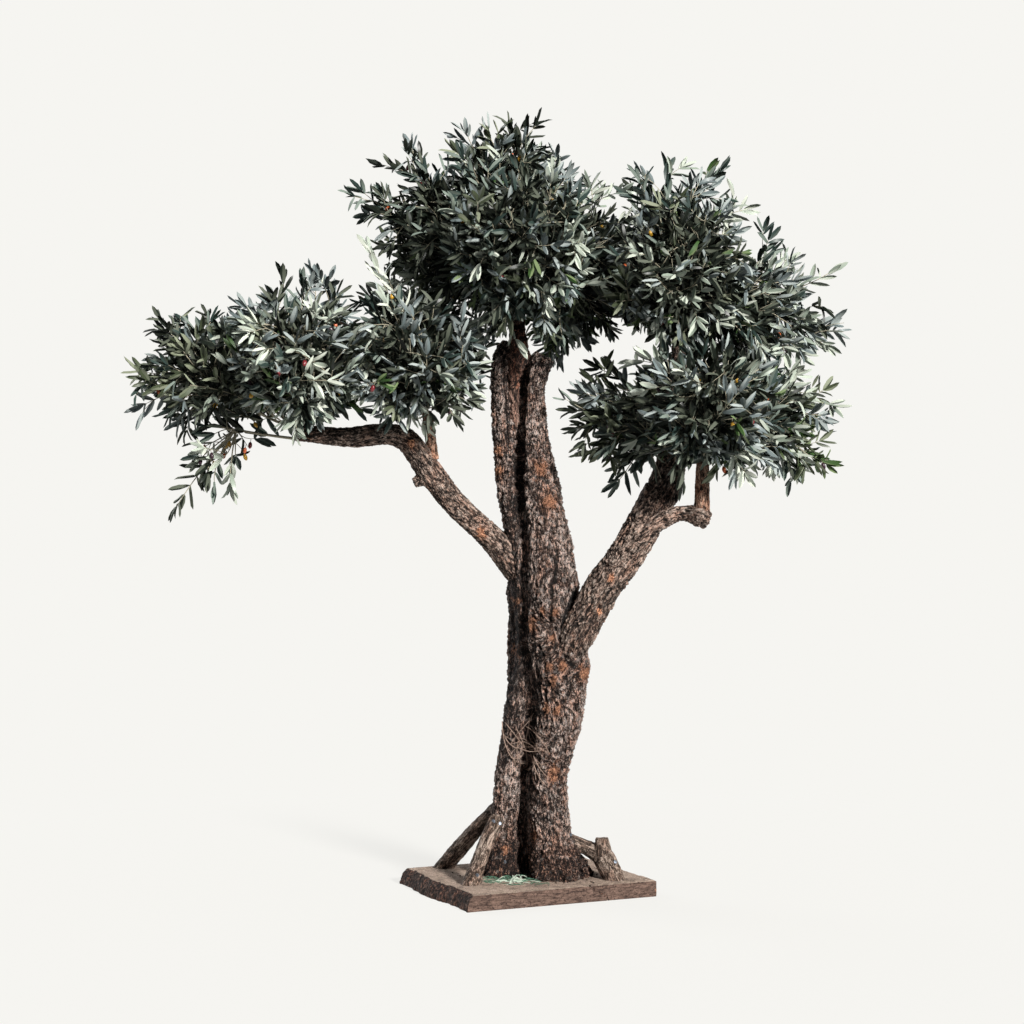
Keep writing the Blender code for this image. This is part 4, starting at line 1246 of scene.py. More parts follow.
@dataclass
class Plank:
    """The plank: sawn on three sides, with a bark-covered waney end."""

    length: float = 0.503
    depth: float = 0.444
    thickness: float = 0.04
    turn: float = PLANK_TURN
    wane: float = 0.02
    ripple: float = 0.006
    crack: float = 0.07  # how far right of the middle the front is cracked
    crack_depth: float = 0.003
    knot_holes: tuple[Point, ...] = (  # x, y and size
        (0.214, -0.06, 0.006), (0.222, -0.02, 0.004), (-0.15, 0.05, 0.004),
    )
    hole_depth: float = 0.004
    edge_wear: float = 0.0015
    voxel: float = 0.003
    sawn: BareWoodFinish = BareWoodFinish(
        "sawn plank", light=(0.142, 0.089, 0.068), dark=(0.022, 0.012, 0.009), stain=(0.022, 0.011, 0.008),
        contrast=0.7, turn=ALONG_PLANK, stretch=4.0, fibre_size=0.005, dirt=0.85, bump=0.0014,
    )
    top: BareWoodFinish = BareWoodFinish(
        "weathered plank", light=(0.56, 0.435, 0.35), dark=(0.11, 0.072, 0.052), contrast=0.55,
        stain=(0.06, 0.04, 0.03), turn=ALONG_PLANK, stretch=3.0, fibre_size=0.0045, dirt=0.9,
        bump=0.0018,
    )
    bark: BarkFinish = BarkFinish(
        name="plank bark", furrow=(0.01, 0.006, 0.004), body=(0.032, 0.018, 0.013),
        plate=(0.064, 0.037, 0.027), crest=(0.17, 0.11, 0.082), flake_size=0.0065, bump=0.0016,
        bleach=0.15, warmth=0.9,
    )

    def _outline(self, level: float) -> Array:
        """The plank's outline at a level, from 0 underneath to 1 on top."""
        half_x = self.length / 2
        half_y = self.depth / 2
        share = np.linspace(0.0, 1.0, 41)
        run_out = self.wane * (1 - level**1.8) ** 0.8
        wave = self.ripple * np.sin(9.0 * share + 0.6) + 0.0015 * np.sin(47.0 * share + 2 * level)
        end = np.stack((-half_x - run_out + wave, half_y - self.depth * share), axis=1)
        front = np.stack((np.linspace(-half_x, half_x, 22)[1:], np.full(21, -half_y)), axis=1)
        side = np.stack((np.full(20, half_x), np.linspace(-half_y, half_y, 21)[1:]), axis=1)
        back = np.stack((np.linspace(half_x, -half_x, 22)[1:-1], np.full(20, half_y)), axis=1)
        corners = np.vstack((end, front, side, back))
        return np.column_stack((corners, np.full(len(corners), self.thickness * level)))

    def _wear(self, plank: Piece) -> None:
        """Works the bark, the sawn faces' unevenness, cracks and small knot holes in."""
        points, facing = points_and_normals(plank)
        noise = Noise(41)
        half_x = self.length / 2
        half_y = self.depth / 2
        wane = smooth_step(-0.2, -0.7, facing[:, 0])
        rim, number = noise.cells(points / (0.012, 0.022, 0.012))
        seam = smooth_step(0.02, 0.3, rim)
        crumple = noise.layered(points / 0.012, 3, 0.6)
        bark = 0.0009 * (seam - 0.9 + 0.4 * (number - 0.5)) + 0.0006 * crumple
        bark += 0.0018 * noise.smooth(points / 0.045)
        sawn = 0.0006 * noise.layered(points / (0.03, 0.06, 0.012), 3)
        sawn += 0.0004 * np.sin(points[:, 0] / 0.0011 + 2 * noise.smooth(points / 0.03))
        top = smooth_step(0.6, 0.9, facing[:, 2])
        front = smooth_step(0.6, 0.9, -facing[:, 1])
        height = wane * bark + (1 - wane) * sawn
        bend = 0.012 * noise.smooth(points / 0.03)
        x, y, z = points.T
        crack = np.abs(x - self.crack - (0.04 - z) * 0.9 + bend)
        crack = bell(crack, 0.0022) * front
        crack_top = np.abs(x - self.crack + bend * 1.6 - 0.25 * (y + half_y))
        reach = smooth_step(0.16, 0.0, y + half_y)
        crack = np.maximum(crack, bell(crack_top, 0.002) * top * reach)
        height -= self.crack_depth * crack
        for hole_x, hole_y, size in self.knot_holes:
            hole = bell(np.hypot(x - hole_x, y - hole_y), size) * top
            height -= self.hole_depth * hole
            crack = np.maximum(crack, hole)
        edge = np.minimum(half_x - x, half_y - np.abs(y))
        worn = smooth_step(0.01, 0.0, edge) * top
        height -= worn * self.edge_wear * (0.6 + noise.smooth(points / 0.02))
        moved = points + facing * height[:, None]
        moved[:, 2] = np.clip(moved[:, 2], 0.0, self.thickness + 0.001)
        moved[points[:, 2] < 0.0015, 2] = 0.0
        reshape(plank, moved)
        mark(plank, "grain", points)
        # the tone is darkened in the cracks and knot holes: painted shade
        mark(plank, "ridge", np.clip(0.34 + 0.16 * seam + 0.3 * crumple, 0.0, 1.0) * (1 - crack))
        mark(plank, "chip", 0.1 + 0.35 * noise.layered(points / 0.028, 2))

    def build(self) -> None:
        """Models, wears and dresses the plank."""
        levels = (0.0, 0.15, 0.3, 0.45, 0.6, 0.75, 0.88, 1.0)
        plank = extruded([self._outline(level) for level in levels])
        finish_with(plank, "REMESH", mode="VOXEL", voxel_size=self.voxel)
        self._wear(plank)
        finish = [self.sawn.build(), self.top.build(), self.bark.build()]
        for face in plank.data.polygons:
            if face.normal.x < -0.3 and abs(face.normal.z) < 0.93:
                face.material_index = 2
            elif face.normal.z > 0.6:
                face.material_index = 1
        plank.data.transform(Matrix.Rotation(self.turn, 4, "Z"))
        shade(plank)
        dress(plank, "plank_board", finish, ["plank_base"])


# ---- many small things ----


@dataclass
class Pattern:
    """The points and faces that every copy of a small shape shares."""

    points: Array
    corners: Array
    sizes: Array
    finish: Array
    sharp: Array

    @staticmethod
    def of(model: Piece, crease: float) -> "Pattern":
        """Reads a modelled shape and removes its object.

        Args:
            model: The shape.
            crease: Edges whose faces meet at more than this angle stay sharp.

        Returns:
            The pattern.
        """
        work = bmesh.new()
        work.from_mesh(model.data)
        work.verts.index_update()
        sharp = [
            (edge.verts[0].index, edge.verts[1].index)
            for edge in work.edges
            if edge.calc_face_angle(0.0) > crease
        ]
        corners = [vert.index for face in work.faces for vert in face.verts]
        sizes = [len(face.verts) for face in work.faces]
        finish = [face.material_index for face in work.faces]
        points = np.array([vert.co[:] for vert in work.verts])
        work.free()
        bpy.data.objects.remove(model)
        return Pattern(
            points, np.array(corners), np.array(sizes), np.array(finish),
            np.array(sharp, dtype=np.int64).reshape(-1, 2),
        )

    @staticmethod
    def tube(rings: int, sides: int) -> "Pattern":
        """A closed tube of some rings, whose points are set copy by copy."""
        side = np.arange(sides)
        after = (side + 1) % sides
        first = np.stack((side, after, after + sides, side + sides), axis=1)
        walls = first + sides * np.arange(rings - 1)[:, None, None]
        corners = np.concatenate((walls.ravel(), side[::-1], side + (rings - 1) * sides))
        sizes = np.array([4] * ((rings - 1) * sides) + [sides, sides])
        nothing = np.zeros((0, 2), dtype=np.int64)
        return Pattern(np.zeros((rings * sides, 3)), corners, sizes, np.zeros_like(sizes), nothing)


class Batch:
    """Gathers copies of small shapes and joins them into one mesh."""

    def __init__(self) -> None:
        """Starts with nothing."""
        self.points: list[Array] = []
        self.corners: list[Array] = []
        self.sizes: list[Array] = []
        self.finish: list[Array] = []
        self.sharp: list[Array] = []
        self.count = 0

    def add(self, pattern: Pattern, shapes: Array, finish: Array | None = None) -> None:
        """Adds copies of one pattern.

        Args:
            pattern: The shape that is copied.
            shapes: The points of each copy.
            finish: What is added to the copy's material numbers.
        """
        copies, size, _ = shapes.shape
        start = self.count + size * np.arange(copies)[:, None]
        numbers = np.zeros(copies, dtype=np.int64) if finish is None else finish
        self.points.append(shapes.reshape(-1, 3))
        self.corners.append((start + pattern.corners[None]).ravel())
        self.sizes.append(np.tile(pattern.sizes, copies))
        self.finish.append((numbers[:, None] + pattern.finish[None]).ravel())
        self.sharp.append((start[:, :, None] + pattern.sharp[None]).reshape(-1, 2))
        self.count += copies * size

    def add_tubes(self, lines: Array, radii: Array, sides: int = 4) -> None:
        """Adds thin round tubes.

        Args:
            lines: The middle line of each tube, all with as many points.
            radii: The radius at each point.
            sides: How many sides a tube has.
        """
        ahead = unit(np.gradient(lines, axis=1))
        whole = unit(lines[:, -1] - lines[:, 0])
        helper = np.where(np.abs(whole[:, 2:]) > 0.8, ((1.0, 0.0, 0.0),), ((0.0, 0.0, 1.0),))
        side = unit(np.cross(ahead, helper[:, None, :]))
        lift = np.cross(ahead, side)
        turn = np.arange(sides) * (math.tau / sides)
        ring = side[:, :, None] * np.cos(turn)[:, None] + lift[:, :, None] * np.sin(turn)[:, None]
        shapes = lines[:, :, None] + ring * radii[:, :, None, None]
        copies, rings = radii.shape
        self.add(Pattern.tube(rings, sides), shapes.reshape(copies, rings * sides, 3))

    def make(self) -> Piece:
        """Joins all copies into one smooth-shaded object.

        Returns:
            The object, at the origin.
        """
        points = np.concatenate(self.points)
        corners = np.concatenate(self.corners)
        sizes = np.concatenate(self.sizes)
        mesh = bpy.data.meshes.new("batch")
        mesh.vertices.add(len(points))
        mesh.vertices.foreach_set("co", points.ravel())
        mesh.loops.add(len(corners))
        mesh.loops.foreach_set("vertex_index", corners.astype(np.int32))
        mesh.polygons.add(len(sizes))
        starts = np.concatenate(([0], np.cumsum(sizes)[:-1]))
        mesh.polygons.foreach_set("loop_start", starts.astype(np.int32))
        mesh.polygons.foreach_set("material_index", np.concatenate(self.finish).astype(np.int32))
        mesh.update(calc_edges=True)
        self._keep_sharp(mesh)
        joined = bpy.data.objects.new("batch", mesh)
        bpy.context.scene.collection.objects.link(joined)
        pick(joined)
        bpy.ops.object.shade_smooth(keep_sharp_edges=True)
        return joined

    def _keep_sharp(self, mesh: bpy.types.Mesh) -> None:
        """Marks the sharp edges of every copy."""
        pairs = np.sort(np.concatenate(self.sharp), axis=1)
        ends = np.empty(len(mesh.edges) * 2, dtype=np.int32)
        mesh.edges.foreach_get("vertices", ends)
        ends = np.sort(ends.reshape(-1, 2).astype(np.int64), axis=1)
        known = pairs[:, 0] * self.count + pairs[:, 1]
        keys = ends[:, 0] * self.count + ends[:, 1]
        layer = mesh.attributes.new("sharp_edge", "BOOLEAN", "EDGE")
        layer.data.foreach_set("value", np.isin(keys, known))


def bezier(start: Array, bend: Array, end: Array, count: int) -> Array:
    """Evenly dealt points on a smooth line from start to end that bend pulls aside."""
    t = np.linspace(0.0, 1.0, count)[:, None]
    return start * (1 - t) ** 2 + bend * (2 * t * (1 - t)) + end * t * t


# ---- leaves and fruit ----


@dataclass
class LeafShape:
    """A narrow olive leaf of length one: a ridged top closed by a flat, paler underside."""

    breadth: float = 0.262
    rows: tuple[tuple[float, float], ...] = ((0.16, 0.62), (0.5, 1.0), (0.83, 0.7))
    fold: float = 0.085

    def model(self) -> Pattern:
        """Models one leaf from a grid: shaped row by row, folded, and closed below.

        Returns:
            The leaf's pattern: faces number 0 on top and 1 below.
        """
        deselect()
        spans = len(self.rows) + 1
        bpy.ops.mesh.primitive_grid_add(
            x_subdivisions=2, y_subdivisions=spans, size=1.0, location=(0, 0.5, 0)
        )
        leaf = bpy.context.object
        bpy.ops.object.transform_apply(location=True)
        bpy.ops.object.mode_set(mode="EDIT")
        for number, (place, share) in enumerate(self.rows, start=1):
            old = number / spans
            self._select(leaf, old)
            bpy.ops.transform.resize(value=(share * self.breadth, 1, 1), center_override=(0, 0, 0))
            bpy.ops.transform.translate(value=(0, place - old, 0))
        for end in (0.0, 1.0):
            self._select(leaf, end)
            bpy.ops.mesh.merge(type="CENTER")
        bpy.ops.mesh.select_all(action="SELECT")
        bpy.ops.mesh.duplicate()
        bpy.ops.mesh.flip_normals()
        work = bmesh.from_edit_mesh(leaf.data)
        for edge in work.edges:
            inner = all(abs(vert.co.x) < 1e-4 for vert in edge.verts)
            edge.select_set(edge.select and inner)
        for face in work.faces:
            face.select_set(False)
        for edge in work.edges:
            if edge.select:
                edge.select_set(True)
        bmesh.update_edit_mesh(leaf.data)
        bpy.ops.mesh.dissolve_edges(use_verts=True)
        self._select(leaf, None)
        bpy.ops.transform.translate(value=(0, 0, self.fold))
        bpy.ops.mesh.select_all(action="SELECT")
        bpy.ops.mesh.remove_doubles(threshold=0.0005)
        bpy.ops.object.mode_set(mode="OBJECT")
        for face in leaf.data.polygons:
            face.material_index = 0 if face.normal.z > 0 else 1
        return Pattern.of(leaf, math.radians(28))

    def _select(self, leaf: Piece, row: float | None) -> None:
        """Selects one row of points, or the inner points of the midrib."""
        bpy.ops.mesh.select_mode(type="VERT")
        bpy.ops.mesh.select_all(action="DESELECT")
        work = bmesh.from_edit_mesh(leaf.data)
        for vert in work.verts:
            if row is None:
                vert.select = abs(vert.co.x) < 1e-4 and 0.01 < vert.co.y < 0.99
            else:
                vert.select = abs(vert.co.y - row) < 1e-4
        work.select_flush_mode()
        bmesh.update_edit_mesh(leaf.data)

    @staticmethod
    def curled(points: Array, curl: Array, sickle: Array, twist: Array) -> Array:
        """Bends copies of the leaf.

        Args:
            points: The flat leaf's points.
            curl: How far each copy's tip bends down.
            sickle: How far it bends sideways.
            twist: How far it turns about its own length, in radians.

        Returns:
            The points of each copy.
        """
        x, y, z = points.T
        angle = twist[:, None] * y[None]
        wide = x * np.cos(angle) - z * np.sin(angle) + sickle[:, None] * y**2
        high = x * np.sin(angle) + z * np.cos(angle) - curl[:, None] * y**2
        along = y * (1 - 0.3 * curl[:, None] ** 2) + 0 * wide
        return np.stack((wide, along, high), axis=2)


@dataclass
class OliveShape:
    """An olive of length one that hangs down from the origin."""

    breadth: float = 0.62

    def model(self) -> Pattern:
        """Models one olive: a ball drawn out, with a small point at its end.

        Returns:
            The olive's pattern.
        """
        deselect()
        bpy.ops.mesh.primitive_uv_sphere_add(segments=8, ring_count=6, radius=0.5)
        olive = bpy.context.object
        bpy.ops.object.mode_set(mode="EDIT")
        bpy.ops.mesh.select_all(action="SELECT")
        bpy.ops.transform.resize(value=(self.breadth, self.breadth, 1.0))
        bpy.ops.transform.translate(value=(0, 0, -0.48))
        work = bmesh.from_edit_mesh(olive.data)
        for vert in work.verts:
            vert.select = vert.co.z < -0.97
        work.select_flush_mode()
        bmesh.update_edit_mesh(olive.data)
        bpy.ops.transform.translate(value=(0, 0, -0.03))
        bpy.ops.object.mode_set(mode="OBJECT")
        return Pattern.of(olive, math.radians(90))


class LeafTone(Enum):
    """The leaf colours that sprays are dealt: top side and underside."""

    # DEEP is also given to every leaf deep inside a mass, as painted shade
    DEEP = ((0.01, 0.014, 0.01), (0.075, 0.086, 0.064))
    TEAL = ((0.024, 0.04, 0.035), (0.14, 0.172, 0.148))
    OLIVE = ((0.046, 0.058, 0.032), (0.175, 0.195, 0.135))
    FRESH = ((0.034, 0.072, 0.02), (0.125, 0.17, 0.078))
    SLATE = ((0.12, 0.148, 0.15), (0.275, 0.31, 0.3))
    SAGE = ((0.22, 0.262, 0.215), (0.37, 0.405, 0.345))
    PALE = ((0.35, 0.395, 0.335), (0.48, 0.51, 0.44))

    def finishes(self) -> list[Material]:
        """Makes the top and the underside of this tone."""
        name = "leaf " + self.name.lower()
        top = PlainFinish(name, self.value[0], rough=0.4, shine=0.3).build()
        under = PlainFinish(name + " under", self.value[1], rough=0.65, shine=0.2).build()
        return [top, under]


class LeafMix(Enum):
    """How many sprays in each hundred get each leaf tone, in the order of the tones."""

    # SHADED deals darker tones to masses in shade, painted shade; SILVERY deals paler ones to masses in the
    # light, silvery leaves and painted light
    SHADED = (32, 22, 17, 3, 12, 10, 4)
    MIXED = (20, 18, 14, 5, 19, 16, 8)
    SILVERY = (14, 17, 8, 5, 27, 19, 10)


class OliveTone(Enum):
    """The fruit colours, with their share."""

    OCHRE = ((0.52, 0.29, 0.03), 0.34)
    ORANGE = ((0.48, 0.1, 0.03), 0.26)
    WINE = ((0.15, 0.018, 0.022), 0.2)
    PURPLE = ((0.03, 0.012, 0.02), 0.2)


# ---- crown ----


@dataclass
class Mass:
    """One mass of foliage on a stem from a limb's tip, given in millimetres."""

    name: str
    hub: Limb
    centre: Point
    radii: Point
    tips: tuple[Point, ...] = ()
    mix: LeafMix = LeafMix.MIXED
    stem: Array = field(init=False)

    def __post_init__(self) -> None:
        """Turns middle, radii and tips into metres."""
        self.centre = np.array(self.centre) / MM
        self.radii = np.array(self.radii) / MM
        self.tips = np.array(self.tips) / MM

    def depth(self, points: Array) -> Array:
        """0 at the middle of the mass, 1 on its skin."""
        return np.linalg.norm((points - self.centre) / self.radii, axis=1)


LEFT_MASSES = [
    Mass(
        "left_tip", LEFT_BOUGH, (-785, -60, 1320), (150, 250, 145),
        (
            (-1034, -60, 1331), (-1030, -10, 1230), (-965, -50, 1489), (-940, -100, 1405),
            (-960, -80, 1270), (-930, 60, 1200), (-890, -60, 1485), (-830, 20, 1480), (-990, 20, 1380),
        ),
        LeafMix.SHADED,
    ),
    Mass(
        "left_droop", LEFT_BOUGH, (-765, -80, 1180), (90, 120, 55),
        (
            (-918, -80, 944), (-759, -80, 985), (-870, -60, 1070), (-835, -110, 1020), (-700, -90, 1110),
            (-815, -60, 990), (-790, -110, 1060), (-870, -30, 1110), (-745, -50, 1060),
        ),
        LeafMix.SHADED,
    ),
    Mass(
        "left_mid_front", LEFT_TIP_PEG, (-565, -230, 1350), (200, 235, 160),
        (
            (-530, -100, 1600), (-640, -200, 1535), (-730, -180, 1500), (-450, -160, 1545),
            (-410, -180, 1200), (-560, -160, 1580), (-470, -80, 1520), (-600, -240, 1150),
            (-500, -260, 1170),
        ),
        LeafMix.SILVERY,
    ),
    Mass("left_mid_back", LEFT_TIP_PEG, (-590, 210, 1375), (205, 250, 150), ((-700, 200, 1570),)),
    Mass(
        "left_inner_front", LEFT_PEG, (-285, -200, 1360), (185, 225, 160),
        (
            (-105, -170, 1240), (-425, -50, 1672), (-350, -200, 1190), (-440, -220, 1225),
            (-420, -100, 1510), (-300, -160, 1165), (-380, -120, 1185), (-90, -140, 1320),
            (-150, -200, 1190),
        ),
        LeafMix.SILVERY,
    ),
    Mass(
        "left_inner_back", LEFT_PEG, (-275, 230, 1425), (185, 245, 170),
        ((-330, 60, 1640), (-450, 100, 1560), (-240, 80, 1590)),
    ),
]
TOP_MASSES = [
    Mass(
        "top_left", LEADER, (-225, 0, 1670), (165, 255, 175),
        (
            (-471, -20, 1804), (-368, -20, 1881), (-325, -20, 1940), (-430, -60, 1735), (-420, 20, 1640),
            (-280, -80, 1860),
        ),
        LeafMix.SHADED,
    ),
    Mass(
        "top_front", LEADER, (-20, -245, 1640), (215, 230, 205),
        (
            (-200, -180, 1880), (120, -180, 1830), (-110, -120, 1375), (60, -160, 1370), (-150, -160, 1400),
            (-60, -200, 1395),
        ),
    ),
    Mass("top_back", LEADER, (-30, 290, 1690), (225, 245, 205), ((100, 200, 1900),)),
    Mass(
        "top_crown", LEADER, (-70, 10, 1805), (165, 220, 125),
        ((-186, 0, 1976), (-48, 0, 2004), (36, 10, 2002), (-110, -60, 1960), (10, 60, 1950)),
    ),
    Mass(
        "top_right", LEADER, (155, 30, 1600), (165, 255, 205),
        (
            (93, 0, 1872), (170, -30, 1840), (75, -140, 1370), (60, 60, 1330), (30, 50, 1350),
            (55, 90, 1390), (66, 0, 1372), (76, 30, 1325), (50, 30, 1415), (84, -10, 1425), (20, 30, 1440),
        ),
    ),
]
UPPER_RIGHT_MASSES = [
    Mass(
        "upper_right_front", RIGHT_BOUGH, (375, -220, 1565), (205, 240, 205),
        ((345, -60, 1878), (430, -180, 1830), (250, -160, 1830)), LeafMix.SILVERY,
    ),
    Mass(
        "upper_right_back", RIGHT_BOUGH, (380, 250, 1640), (220, 250, 195),
        ((515, 50, 1889), (600, 100, 1780), (290, 100, 1860)), LeafMix.SILVERY,
    ),
    Mass(
        "upper_right_outer", RIGHT_BOUGH, (545, 0, 1490), (135, 240, 155),
        (
            (822, 0, 1594), (834, 0, 1415), (638, -20, 1702), (720, -50, 1570), (700, 50, 1625),
            (740, -60, 1380), (780, -20, 1435), (720, -80, 1340), (800, -20, 1370), (660, -100, 1365),
            (600, -120, 1350),
        ),
        LeafMix.SILVERY,
    ),
]
LOWER_RIGHT_MASSES = [
    Mass(
        "lower_right_inner", RIGHT_PEG, (275, -60, 1215), (115, 200, 110),
        (
            (66, -60, 1225), (200, -80, 1000), (120, -80, 1320), (100, -60, 1095), (170, -20, 1110),
            (90, -100, 1280), (280, -140, 1060), (130, -120, 1190), (75, -80, 1170), (115, -20, 1250),
            (160, -130, 1150), (140, -60, 1360),
        ),
        LeafMix.SHADED,
    ),
    Mass(
        "lower_right_front", RIGHT_PEG, (440, -270, 1235), (200, 215, 150),
        (
            (330, -250, 1040), (560, -250, 1050), (470, -200, 1070), (250, -240, 1370), (520, -180, 1045),
            (610, -200, 1060),
        ),
        LeafMix.SILVERY,
    ),
    Mass("lower_right_back", RIGHT_PEG, (450, 240, 1275), (215, 245, 165)),
    Mass(
        "lower_right_outer", RIGHT_PEG, (600, -20, 1215), (130, 240, 120),
        (
            (799, -20, 1062), (797, -10, 1292), (790, -50, 1210), (720, 20, 1050), (640, -80, 1050),
            (720, -20, 1345), (680, -100, 1055), (760, -80, 1070),
        ),
        LeafMix.SILVERY,
    ),
]
CROWN = {
    "left_outer": LEFT_MASSES[:3], "left_inner": LEFT_MASSES[3:], "top_front": TOP_MASSES[:2],
    "top_back": TOP_MASSES[2:], "upper_right": UPPER_RIGHT_MASSES, "lower_right": LOWER_RIGHT_MASSES,
}
ALL_MASSES = [mass for group in CROWN.values() for mass in group]


@dataclass
class GrowthRule:
    """The sizes that twigs and leaves grow by."""

    seed: int = 111
    stem_radius: float = 0.0045
    stem_end_radius: float = 0.0028
    stem_bend: float = 0.4
    stem_points: int = 14
    branch_points: int = 7
    twig_points: int = 4
    stem_past_centre: float = 0.35
    branch_room: float = 0.006  # of a mass's skin for each branch, in square metres
    reach: tuple[float, float] = (0.45, 1.12)  # of the way from a mass's middle to its skin
    inset: float = 0.045
    # leaves deep in a mass take the darkest tone, painted shade
    shade_depth: float = 0.7  # leaves nearer to the middle of a mass are dark
    inner_share: float = 0.5  # and fewer
    first_branch: float = 0.1
    branch_lean: float = math.radians(50.0)  # the widest angle between a branch and its stem
    twig_lean: tuple[float, float] = (26.0, 66.0)
    branch_radius: float = 0.0021
    twig_radius: float = 0.0012
    twig_pitch: float = 0.043
    twig_length: tuple[float, float] = (0.07, 0.15)
    pair_pitch: float = 0.0255
    spread: float = math.radians(38.0)
    upturn: float = 0.3
    tumble: float = 0.85
    leaf_length: tuple[float, float] = (0.046, 0.072)
    twig_skin: float = 0.92
    sprig_skin: float = 1.7
    skin: float = 1.29
    ragged: float = 0.4
    space_margin: float = 0.8
    clearance: float = 0.004
    sag: float = 0.06
    olive_length: float = 0.0175
    olives: int = 11
    next_turn: float = math.radians(137.5)  # from one twig to the next round their branch
    least_branch: float = 0.06
    leafy_reach: float = 0.26  # how much of a branch has twigs, from its tip
    sprig_pitch: float = 0.055
    sprig_end: float = 0.05  # the length of a sprig's last leaf
    fresh_tone: float = 0.3  # the share of twigs with a leaf tone of their own


def stand_stems(rule: GrowthRule) -> None:
    """Gives each mass its stem: those on one limb stand round its tip, each on its own side.

    Args:
        rule: The sizes of the stems.
    """
    for limb in {id(mass.hub): mass.hub for mass in ALL_MASSES}.values():
        tip = limb.centres[-1]
        axis = limb.alongs[-1]
        group = [mass for mass in ALL_MASSES if mass.hub is limb]
        turns = {}
        for mass in group:
            away = mass.centre - tip
            turns[mass.name] = math.atan2(away.dot(limb.ups[-1]), away.dot(limb.rights[-1]))
        group.sort(key=lambda mass: turns[mass.name])
        share = math.tau / len(group)
        drift = [turns[mass.name] - i * share for i, mass in enumerate(group)]
        start = math.atan2(sum(map(math.sin, drift)), sum(map(math.cos, drift)))
        out = limb.radii[-1] - rule.stem_radius - 0.001
        for i, mass in enumerate(group):
            turn = start + i * share
            ring = limb.rights[-1] * math.cos(turn) + limb.ups[-1] * math.sin(turn)
            foot = tip - axis * 0.006 + ring * out
            past = rule.stem_past_centre * mass.radii[0]
            end = mass.centre + unit(mass.centre - foot) * past
            bend = foot + axis * (rule.stem_bend * np.linalg.norm(end - foot))
            mass.stem = bezier(foot, bend, end, rule.stem_points)


RAGGED = Noise(5)
ANYWHERE = 9.0  # a skin so wide that every leaf lies inside it


def owned(points: Array, mass: Mass, skin: float, rule: GrowthRule) -> Array:
    """Whether points lie inside a mass's ragged skin and not deep in another mass."""
    depth = mass.depth(points)
    own = depth < skin * (1 + rule.ragged * RAGGED.smooth(points / 0.1))
    for other in ALL_MASSES:
        if other is not mass:
            own &= other.depth(points) > depth * rule.space_margin - 0.1
    return own


RING_PLACES = np.concatenate([limb.centres for limb in SOLID_LIMBS])
RING_RADII = np.concatenate([limb.radii * max(1.0, limb.depth) for limb in SOLID_LIMBS])


def clear_of_limbs(points: Array, room: float) -> Array:
    """Whether points keep off the trunk, the boughs and the pegs."""
    away = np.linalg.norm(points[:, None] - RING_PLACES[None], axis=2) - RING_RADII
    return away.min(axis=1) > room


def even_directions(count: int, turn: float) -> Array:
    """Directions spread evenly over a sphere."""
    number = np.arange(count)
    z = 1 - (2 * number + 1) / count
    flat = np.sqrt(1 - z * z)
    angle = turn + number * math.pi * (3 - math.sqrt(5))
    return np.stack((flat * np.cos(angle), flat * np.sin(angle), z), axis=1)


def turned_off(ahead: Array, roll: float, lean: float) -> tuple[Array, Array]:
    """A direction that leans off a twig.

    Args:
        ahead: The twig's direction.
        roll: The side that it leans to, as an angle about the twig.
        lean: The angle from the twig.

    Returns:
        The direction, and the side that it leans to.
    """
    helper = np.array((1.0, 0.0, 0.0)) if abs(ahead[2]) > 0.8 else UP
    side = unit(np.cross(ahead, helper))
    lift = np.cross(ahead, side)
    out = side * math.cos(roll) + lift * math.sin(roll)
    return ahead * math.cos(lean) + out * math.sin(lean), out


def place_on(line: Array, share: float) -> tuple[Array, Array]:
    """The place and the direction at a share of the way along a line."""
    spot = share * (len(line) - 1)
    index = min(int(spot), len(line) - 2)
    step = line[index + 1] - line[index]
    return line[index] + step * (spot - index), unit(step)


